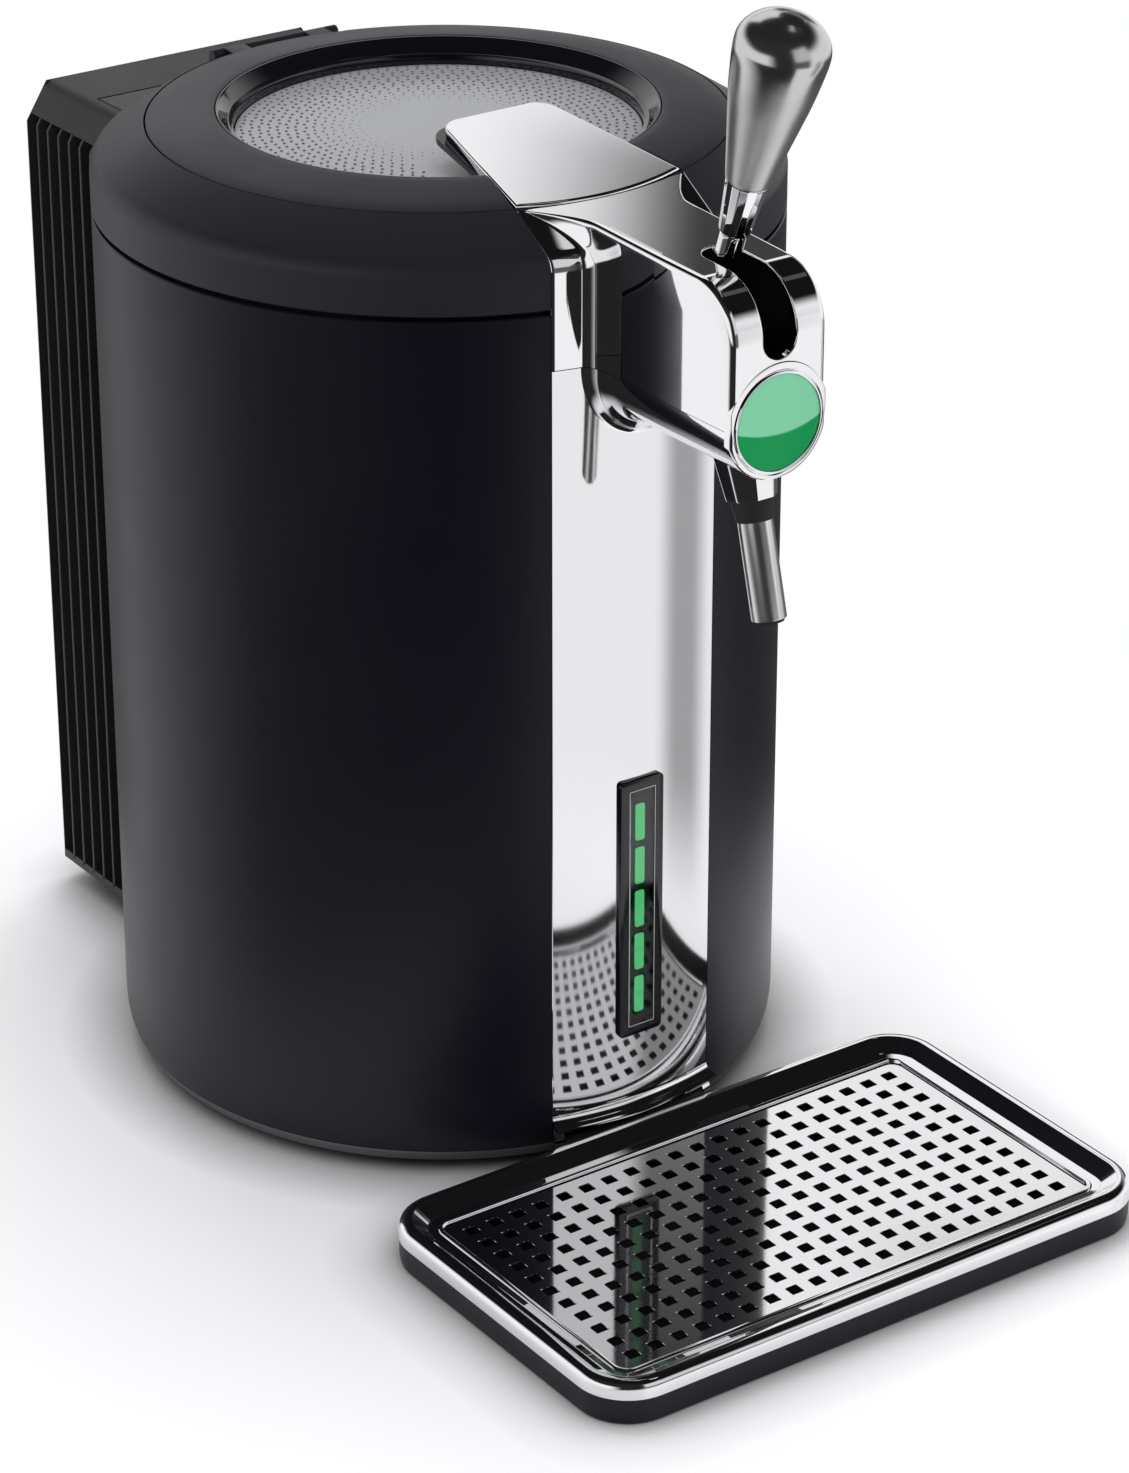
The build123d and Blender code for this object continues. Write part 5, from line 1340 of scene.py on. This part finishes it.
grip_edge = plate_outline(3.0, 11.0)
grip_edge = grip_edge[grip_edge[:, 1] > GRIP_FRONT_Y]
grip_edge = np.concatenate([[(31.4, GRIP_FRONT_Y)], grip_edge, [(-31.4, GRIP_FRONT_Y)]])
grip = prism(grip_edge, GRIP_FOOT, GRIP_TOP, 1.0, 0.5, slope)
piece("latch_grip_pad", grip, "latch", gloss_black, ["latch_grip"])
leg_edge = np.array([(29.6, -72.5), (26.6, -58.5), (-26.6, -58.5), (-29.6, -72.5)])
leg = prism(leg_edge, LEG_FOOT, GRIP_FOOT, 0.8, 0.0, slope)
piece("latch_rest", leg, "latch", gloss_black, ["latch_leg"])

# %% [markdown]
# ## The cooling module
# A box behind the barrel with standing fins down both sides, a chamfered roof, a service hatch and a
# slotted back cover. Fins and roof are one wall each: an outline in back view raised along y, with a fin
# wherever it is wide.
# %% Module casing
MODULE_HALF, MODULE_LOW, MODULE_TOP, SHOULDER, CREASE = 72.0, 10.5, 367.5, 352.0, 62.0
CASE_FRONT, CASE_BACK, BARREL_CLEAR_R = 100, 197.9, 135.4
FIN_PITCH, FIN_T, FIN_DEPTH, FIN_TOP, FIN_FOOT = 8.65, 1.6, 8.0, 355.5, 13.0


def walls_y(outline, y0, y1, soft0=0.0, soft1=0.0, steps=2):
    """An outline in x and height raised along +y from y0 to y1, its front held behind the barrel."""
    made = []
    for points, faces in prism(outline, y0, y1, soft0, soft1, axes("xzy"), steps=steps):
        limit = np.sqrt(np.maximum(BARREL_CLEAR_R ** 2 - points[:, 0] ** 2, 0))
        moved = points.copy()
        moved[:, 1] = np.maximum(points[:, 1], limit)
        made.append((moved, faces[:, ::-1]))
    return made


def mirrored_walls(outline, *args, **more):
    """The same walls on both sides: the mirrored outline is read backwards, so its faces look outwards."""
    outline = np.asarray(outline, float)
    return walls_y(outline, *args, **more) + walls_y(outline[::-1] * (-1, 1), *args, **more)


def chamfer_at(z):
    """The module's half-width at a height on its chamfer."""
    return MODULE_HALF - (z - SHOULDER) * (MODULE_HALF - CREASE) / (MODULE_TOP - SHOULDER)


def slab(half, low, high):
    """A rectangle across the middle, in x and height."""
    return np.array([(-half, low), (half, low), (half, high), (-half, high)])


MIDDLE_HALF = 57.3
core = MODULE_HALF - FIN_DEPTH
front_block = CASE_BACK - 8 * FIN_PITCH + FIN_T
fin = [(core - 1, FIN_FOOT), (MODULE_HALF, FIN_FOOT), (MODULE_HALF, SHOULDER),
       (chamfer_at(FIN_TOP), FIN_TOP), (core - 1, FIN_TOP)]
casing = mirrored_walls([(61, 13.5), (core, 13.5), (core, 356.0), (61, 356.0)], CASE_FRONT, CASE_BACK)
foot = [(61, MODULE_LOW), (MODULE_HALF, MODULE_LOW), (MODULE_HALF, 14.5), (61, 14.5)]
casing += mirrored_walls(foot, CASE_FRONT, CASE_BACK)
casing += mirrored_walls(fin, CASE_FRONT, front_block)
roof_line = [(MIDDLE_HALF, 355.0), (chamfer_at(355.0), 355.0), (CREASE, MODULE_TOP),
             (MIDDLE_HALF, MODULE_TOP)]
casing += mirrored_walls(rounded_line(roof_line, [0, 6.0], 9), CASE_FRONT, CASE_BACK)
casing += walls_y(slab(MIDDLE_HALF, 362.0, MODULE_TOP), 165.3, CASE_BACK)
casing += walls_y(slab(61.0, MODULE_LOW, 21.5), CASE_FRONT, CASE_BACK)
casing += walls_y(slab(MIDDLE_HALF, 360.0, 364.6), CASE_FRONT, CASE_BACK)
for front in CASE_BACK - FIN_PITCH * np.arange(1, 8):
    casing += mirrored_walls(fin, front, front + FIN_T, 0.3, 0.3)
piece("module_casing", casing, "dispenser", module_grey, ["rear_housing"])

# %% Service hatch
HATCH_HALF, HATCH_EDGE, HATCH_REAR = 56.5, 0.35, 164.5
side_line = [(HATCH_HALF, 365.0), (HATCH_HALF, MODULE_TOP - HATCH_EDGE),
             (HATCH_HALF - HATCH_EDGE, MODULE_TOP)]
hatch = np.array([(-HATCH_HALF, 365.0), *side_line, *((-x, z) for x, z in side_line[:0:-1])])
piece("service_hatch", walls_y(hatch, CASE_FRONT, HATCH_REAR, 0.0, HATCH_EDGE), "dispenser",
      module_grey, ["rear_hatch"])

# %% [markdown]
# ## The back cover
# One perforated sheet again: its columns narrow towards the roof, so that its outline follows the chamfer,
# and its border falls away by a millimetre and a half. A round hole in a grid needs one more step, a ring
# of faces from the square opening in to the circle.
# %% Back cover
COVER_FACE, COVER_T, BORDER = 200.0, 2.0, 1.5
SOCKET_X, SOCKET_Z, FAN_Z = 34.0, 44.0, 190.0
INLET_HALF, SWITCH_HALF, SCREW_HALF, SLOT_HALF, SLOT_PITCH = (14.1, 10.1), (10.6, 7.1), (4.0, 4.0), 1.8, 7.4
SCREWS = [(x, z) for x in (-62.5, 62.5) for z in (30.0, 330.0)]
order = np.arange(13) - 6
openings = [(slot, FAN_Z, SLOT_HALF, 43 - 1.6 * abs(k)) for k, slot in zip(order, SLOT_PITCH * order)]
openings += [(SOCKET_X, SOCKET_Z, *INLET_HALF), (-SOCKET_X, SOCKET_Z, *SWITCH_HALF)]
openings += [(x, z, *SCREW_HALF) for x, z in SCREWS]
middle_x, middle_z, half_x, half_z = np.array(openings).T
edges_x = [-MODULE_HALF, BORDER - MODULE_HALF, MODULE_HALF - BORDER, MODULE_HALF]
edges_z = [MODULE_LOW, MODULE_LOW + BORDER, MODULE_TOP - BORDER, MODULE_TOP, SHOULDER]
xs = np.unique(np.round(np.concatenate([edges_x, middle_x - half_x, middle_x + half_x]), 3))
zs = np.unique(np.round(np.concatenate([edges_z, middle_z - half_z, middle_z + half_z]), 3))
mx, mz = np.meshgrid((xs[:-1] + xs[1:]) / 2, (zs[:-1] + zs[1:]) / 2, indexing="ij")
inside_x, inside_z = np.abs(mx[..., None] - middle_x) < half_x, np.abs(mz[..., None] - middle_z) < half_z
solid = ~(inside_x & inside_z).any(-1)


def narrowed(x, z):
    """The sheet's columns drawn in above the shoulder."""
    return x * np.where(z > SHOULDER, chamfer_at(z) / MODULE_HALF, 1.0)


def cover_front(x, z):
    """The cover's outer face, falling away at its border."""
    border = np.minimum(MODULE_HALF - np.abs(x), np.minimum(z - MODULE_LOW, MODULE_TOP - z))
    return np.stack([narrowed(x, z), COVER_FACE - np.clip(BORDER - border, 0, BORDER), z], -1)


def cover_back(x, z):
    """The cover's inner face."""
    return np.stack([narrowed(x, z), np.full_like(x, COVER_FACE - COVER_T), z], -1)


points, faces = sheet(xs, zs, solid, cover_front, cover_back)
cover = [(points, faces[:, ::-1])]
turn = np.linspace(0, 2 * math.pi, 48, endpoint=False)
circle = np.stack([np.cos(turn), np.sin(turn)], -1)
square = circle / np.abs(circle).max(1, keepdims=True) * SCREW_HALF
rings = [(square, 0.0), (circle * 3.3, 0.0), (circle * 3.1, 0.15), (circle * 3.1, 1.2), (circle * 0, 1.2)]
for x, z in SCREWS:
    bore = [(ring[:, 0] + x, np.full(48, COVER_FACE - deep), ring[:, 1] + z) for ring, deep in rings]
    cover.append(patch(np.swapaxes(bore, 1, 2), (x, 190, z), wrap_cols=True))
piece("cover_sheet", cover, "dispenser", module_grey, ["rear_cover"])

# %% [markdown]
# ## The drip tray
# A black moulded basin, a chromed rim swept round it, and a polished plate with 220 square holes. The rim's
# section is a rounded outer shoulder, a long slope inwards, a shallow groove and a small inner bead.
# Sweeping it is one outline inset by the section's distances, ring by ring.
# %% Tray
TRAY_Y, TRAY_W, TRAY_D, TRAY_R = -220.0, 258.6, 156.6, 22.0


def tray_ring(distance, height, steps=14):
    """The tray's outline moved in by a distance, at a height."""
    radius = max(TRAY_R - distance, 1.2)
    ring = rounded_rect(TRAY_W - 2 * distance, TRAY_D - 2 * distance, radius, steps) + (0, TRAY_Y)
    return np.column_stack([ring, np.full(len(ring), height)])


foot = rounded_line([(2.6, 0.0), (1.0, 0.05), (0.3, 4.0), (0.3, 10.9)], [1.4, 3.0], 6)
basin = [(40.0, 0.0), *foot.tolist(), (0.6, 11.05), (17.8, 11.05), (17.8, 11.5), (20.0, 11.5), (20.4, 11.2),
         (20.6, 3.0), (21.6, 2.2), (40.0, 2.2)]
basin_rings = np.array([tray_ring(d, z) for d, z in basin])
tray_inside = (0, TRAY_Y, 1.1)
tray_parts = [patch(basin_rings, tray_inside, wrap_cols=True), cap(basin_rings[0], tray_inside),
              cap(basin_rings[-1], tray_inside)]
piece("tray_basin", tray_parts, "tray", tray_black, ["tray_base"])

shoulder = rounded_line([(0.0, 12.5), (0.0, 18.3), (5.2, 18.25), (11.6, 13.8), (14.9, 13.5)],
                        [3.4, 1.2, 2.2], 8)
rim = [(0.0, 11.15), *shoulder.tolist(), (15.35, 14.05), (15.6, 14.2), (16.6, 14.15), (16.95, 13.95),
       (17.3, 13.3), (17.3, 11.15)]
rim_rings = np.array([tray_ring(d, z) for d, z in rim])
tray_rim = patch(rim_rings, (0, TRAY_Y, 0), wrap_rows=True, wrap_cols=True)
piece("tray_bright_rim", [tray_rim], "tray", chrome, ["tray_rim"], sharp=30)

# %% Drip plate
PLATE_W, PLATE_D, HOLE, PLATE_EDGE = 223.0, 121.0, 5.2, 0.4
PLATE_TOP, PLATE_UNDER, EDGE_SOFT_M = 12.8, 11.6, 0.00016
column_x, row_y = (np.arange(20) - 9.5) * 10.75, (np.arange(11) - 5) * 10.45


def plate_cuts(size, middles):
    """Where the plate's grid lines lie along one axis: its two edges and both sides of every hole."""
    border = [-size / 2, -size / 2 + PLATE_EDGE, size / 2 - PLATE_EDGE, size / 2]
    return np.sort(np.concatenate([border, middles - HOLE / 2, middles + HOLE / 2]))


xs, ys = plate_cuts(PLATE_W, column_x), plate_cuts(PLATE_D, row_y)
mx, my = np.meshgrid((xs[:-1] + xs[1:]) / 2, (ys[:-1] + ys[1:]) / 2, indexing="ij")
in_column = (np.abs(mx[..., None] - column_x) < HOLE / 2).any(-1)
in_row = (np.abs(my[..., None] - row_y) < HOLE / 2).any(-1)
points, faces = sheet(xs, ys, ~(in_column & in_row), level_at(PLATE_TOP), level_at(PLATE_UNDER))
plate_sheet = (points + (0, TRAY_Y, 0), faces)
plate_piece = piece("drip_plate_polished", [plate_sheet], "plate", mirror_steel,
                    ["drip_plate"])
soft = plate_piece.modifiers.new("soft_edges", "BEVEL")
soft.width, soft.segments, soft.limit_method, soft.angle_limit = EDGE_SOFT_M, 1, "ANGLE", math.radians(60)

# %% [markdown]
# ## Parts kept from the solids
# The feet, the screws, the inlet and everything inside the machine already have the right shape. They keep
# their mesh and get the finish of their material slot.
# %% Finishes for the kept solids
by_slot = {
    "body_black": body_black, "base_grey": base_grey, "black_plastic": black_plastic,
    "gloss_black": gloss_black, "module_grey": module_grey, "smoked_window": smoke, "chrome": chrome,
    "mirror_steel": mirror_steel, "steel": pin_steel, "pewter": pewter, "rubber": rubber,
    "green_badge": badge_green_painted_reflection, "green_light": green_light, "aluminium": aluminium, "foam": foam,
    "circuit_green": board_green, "grey_metal": zinc, "ceramic": ceramic,
}
slot_of = {part["node"]: part["material_slot"] for part in frame["record"]["subparts"]}
for name, solid_part in frame["nodes"].items():
    material = by_slot[slot_of[name]]
    if not solid_part.data.materials:
        solid_part.data.materials.append(material)
    for slot in solid_part.material_slots:
        slot.material = material
print("kept solids dressed", len(frame["nodes"]))

# %% [markdown]
# ## Floor, studio and lights
# Polished metal has no look of its own: it shows what stands around it. So the sky is white for the camera,
# and a plain soft light, a little stronger from behind and above, for everything dull. For mirror rays it
# is a small studio: bright walls low down, a dark ceiling, a dark side where a camera would stand, and a
# few soft cards. Each card is one shader group placed by its azimuth, counted from +Y towards +X, and its
# elevation.
# %% A card on the sky
def studio_card():
    """1 inside a rectangle of azimuth and elevation, in degrees, 0 beyond its soft sides and edges."""
    labels = {"Azimuth": 0.0, "Elevation": 0.0, "Half Width": 10.0, "Half Height": 10.0, "Soft Side": 2.0,
              "Soft Edge": 2.0}
    group, given, result = effect("studio_card", labels, ("Mask",))
    do, (x, y, z) = arithmetic(group), position(group, "Generated")
    turn = do("RADIANS", given.outputs["Azimuth"])
    sine, cosine = do("SINE", turn), do("COSINE", turn)
    across = do("SUBTRACT", do("MULTIPLY", x, cosine), do("MULTIPLY", y, sine))
    ahead = do("ADD", do("MULTIPLY", x, sine), do("MULTIPLY", y, cosine))
    aside = do("ABSOLUTE", do("DEGREES", do("ARCTAN2", across, ahead)))
    above = do("ABSOLUTE", do("SUBTRACT", do("DEGREES", do("ARCSINE", z)), given.outputs["Elevation"]))
    masks = []
    for off, half, soft in ((aside, "Half Width", "Soft Side"), (above, "Half Height", "Soft Edge")):
        past = do("SUBTRACT", off, given.outputs[half])
        masks.append(eased(group, past, 0.0, given.outputs[soft], 1.0, 0.0))
    group.links.new(do("MULTIPLY", *masks), result.inputs["Mask"])
    return group


CARD = studio_card()

# %% The studio
CEILING, WALLS, WALL_TOP, CEILING_FOOT = 0.007, 1.0, 18.0, 36.0
REAR_SIDE = (0.28, 0.60, 0.75)
DIM, BRIGHT = (-0.45, 0.74), (0.75, 1.06)  # how far along REAR_SIDE, and how strong the soft sky is there
CARDS = {  # azimuth, elevation, half width, half height, soft side, soft edge, brightness
    "camera_side": (-145, -20, 30, 70, 5, 20, 0.018),
    "camera_side_fade": (-110, -20, 18, 70, 53, 20, 0.02),
    "right_wall": (72, -42, 32, 26, 8, 8, 0.10),
    "strip_dip": (125, -26, 3, 14, 11, 8, 0.42),
    "edge_shade": (16, -42, 14, 40, 14, 8, 0.18),
    "left_window": (-75, 5, 35, 15, 26, 6, 1.0),
    "front_shade": (168, -1, 14, 12, 12, 6, 0.12),
    "front_wall": (163, 25, 13, 15, 12, 6, 0.7),
    "rear_box": (25, 29.3, 19, 2.2, 1.5, 1.0, 1.0),
    "rear_box_top": (22, 41, 16.6, 9.5, 4, 2, 1.0),
    "rear_gap": (50.7, 19, 13, 6, 2.0, 1.5, 0.055),
    "ceiling_box": (93, 66.5, 8, 2.5, 6, 1.5, 0.7),
    "ceiling_line": (96, 54.6, 5, 0.8, 3, 1.0, 0.08),
}
world = bpy.data.worlds.new("studio")
bpy.context.scene.world = world
world.use_nodes = True
tree = world.node_tree
n, link, do = tree.nodes, tree.links.new, arithmetic(tree)
n.clear()
output, path = n.new("ShaderNodeOutputWorld"), n.new("ShaderNodeLightPath")
x, y, z = position(tree, "Generated")
level = eased(tree, do("DEGREES", do("ARCSINE", z)), WALL_TOP, CEILING_FOOT, WALLS, CEILING)
for *numbers, brightness in CARDS.values():
    card = n.new("ShaderNodeGroup")
    card.node_tree = CARD
    for socket, number in zip(card.inputs, numbers):
        socket.default_value = number
    mask = card.outputs["Mask"]
    level = do("ADD", do("MULTIPLY", level, do("SUBTRACT", 1.0, mask)), do("MULTIPLY", mask, brightness))
rear = do("ADD", do("MULTIPLY", x, REAR_SIDE[0]), do("MULTIPLY", y, REAR_SIDE[1]))
rear = do("ADD", rear, do("MULTIPLY", z, REAR_SIDE[2]))
shade = eased(tree, rear, DIM[0], BRIGHT[0], DIM[1], BRIGHT[1])
backgrounds = []
for color, strength in (((1.0, 1.0, 1.02), shade), ((1.0, 1.0, 1.015), level), ((1.0, 1.0, 1.0), 1.0)):
    background = n.new("ShaderNodeBackground")
    background.inputs["Color"].default_value = (*color, 1)
    give(tree, background.inputs["Strength"], strength)
    backgrounds.append(background.outputs[0])
soft_sky, mirrored_sky, white = backgrounds
polished, shown = n.new("ShaderNodeMixShader"), n.new("ShaderNodeMixShader")
link(do("MAXIMUM", path.outputs["Is Glossy Ray"], path.outputs["Is Transmission Ray"]), polished.inputs[0])
link(soft_sky, polished.inputs[1])
link(mirrored_sky, polished.inputs[2])
link(path.outputs["Is Camera Ray"], shown.inputs[0])
link(polished.outputs[0], shown.inputs[1])
link(white, shown.inputs[2])
link(shown.outputs[0], output.inputs[0])
print("cards on the sky", len(CARDS))

# %% [markdown]
# The floor is white round the machine and fades into the white beyond, sooner for mirror rays than for the
# camera. Right under the edges, where a soft sky alone leaves too little shade, an Ambient Occlusion node
# darkens the paint.
# %% Floor
PAINT, SHADE_PAINT = (0.93, 0.93, 0.935), (0.03, 0.03, 0.032)
SHADE_REACH, SHADE_POWER = 0.032, 1.1
FLOOR_HALF_X, FLOOR_HALF_Y, FLOOR_FORWARD, FADE_START, MIRROR_LOSS = 0.46, 0.58, 0.05, 0.62, 0.25
floor_mesh = bpy.data.meshes.new("floor")
floor_mesh.from_pydata([(-1, -1, 0), (1, -1, 0), (1, 1, 0), (-1, 1, 0)], [], [(0, 1, 2, 3)])
floor = bpy.data.objects.new("floor", floor_mesh)
bpy.context.scene.collection.objects.link(floor)
floor_paint = bpy.data.materials.new("floor_paint")
floor_paint.use_nodes = True
tree = floor_paint.node_tree
shader, do = tree.nodes["Principled BSDF"], arithmetic(tree)
shader.inputs["Roughness"].default_value = 0.9
shader.inputs["Specular IOR Level"].default_value = 0.1
near = tree.nodes.new("ShaderNodeAmbientOcclusion")
near.samples = 16
near.inputs["Distance"].default_value = SHADE_REACH
openness = do("POWER", near.outputs["AO"], SHADE_POWER)
tree.links.new(blend(tree, openness, SHADE_PAINT, PAINT), shader.inputs["Base Color"])
x, y, _ = position(tree)
across, ahead = do("DIVIDE", x, FLOOR_HALF_X), do("DIVIDE", do("ADD", y, FLOOR_FORWARD), FLOOR_HALF_Y)
reach = do("SQRT", do("ADD", do("MULTIPLY", across, across), do("MULTIPLY", ahead, ahead)))
mirrored = tree.nodes.new("ShaderNodeLightPath").outputs["Is Glossy Ray"]
reach = do("ADD", reach, do("MULTIPLY", mirrored, MIRROR_LOSS))
tree.links.new(eased(tree, reach, FADE_START, 1.0, 1.0, 0.0), shader.inputs["Alpha"])
floor_mesh.materials.append(floor_paint)


# %% Lights
def soft_light(name, place, target, size, power):
    """A rectangular light that looks at a point, in metres; mirrors show the studio's cards instead."""
    lamp = bpy.data.lights.new(name, "AREA")
    lamp.shape, lamp.size, lamp.size_y, lamp.energy = "RECTANGLE", *size, power
    made = bpy.data.objects.new(name, lamp)
    bpy.context.scene.collection.objects.link(made)
    made.location = place
    made.rotation_euler = (Vector(target) - Vector(place)).to_track_quat("-Z", "Y").to_euler()
    made.visible_glossy = False


soft_light("front", (-0.9, -2.3, 0.45), (0, -0.1, 0.3), (1.4, 0.5), 26)
soft_light("top", (0.5, 0.9, 2.2), (0, 0, 0.2), (1.2, 1.2), 16)

# %% Update the scene
bpy.context.view_layer.update()
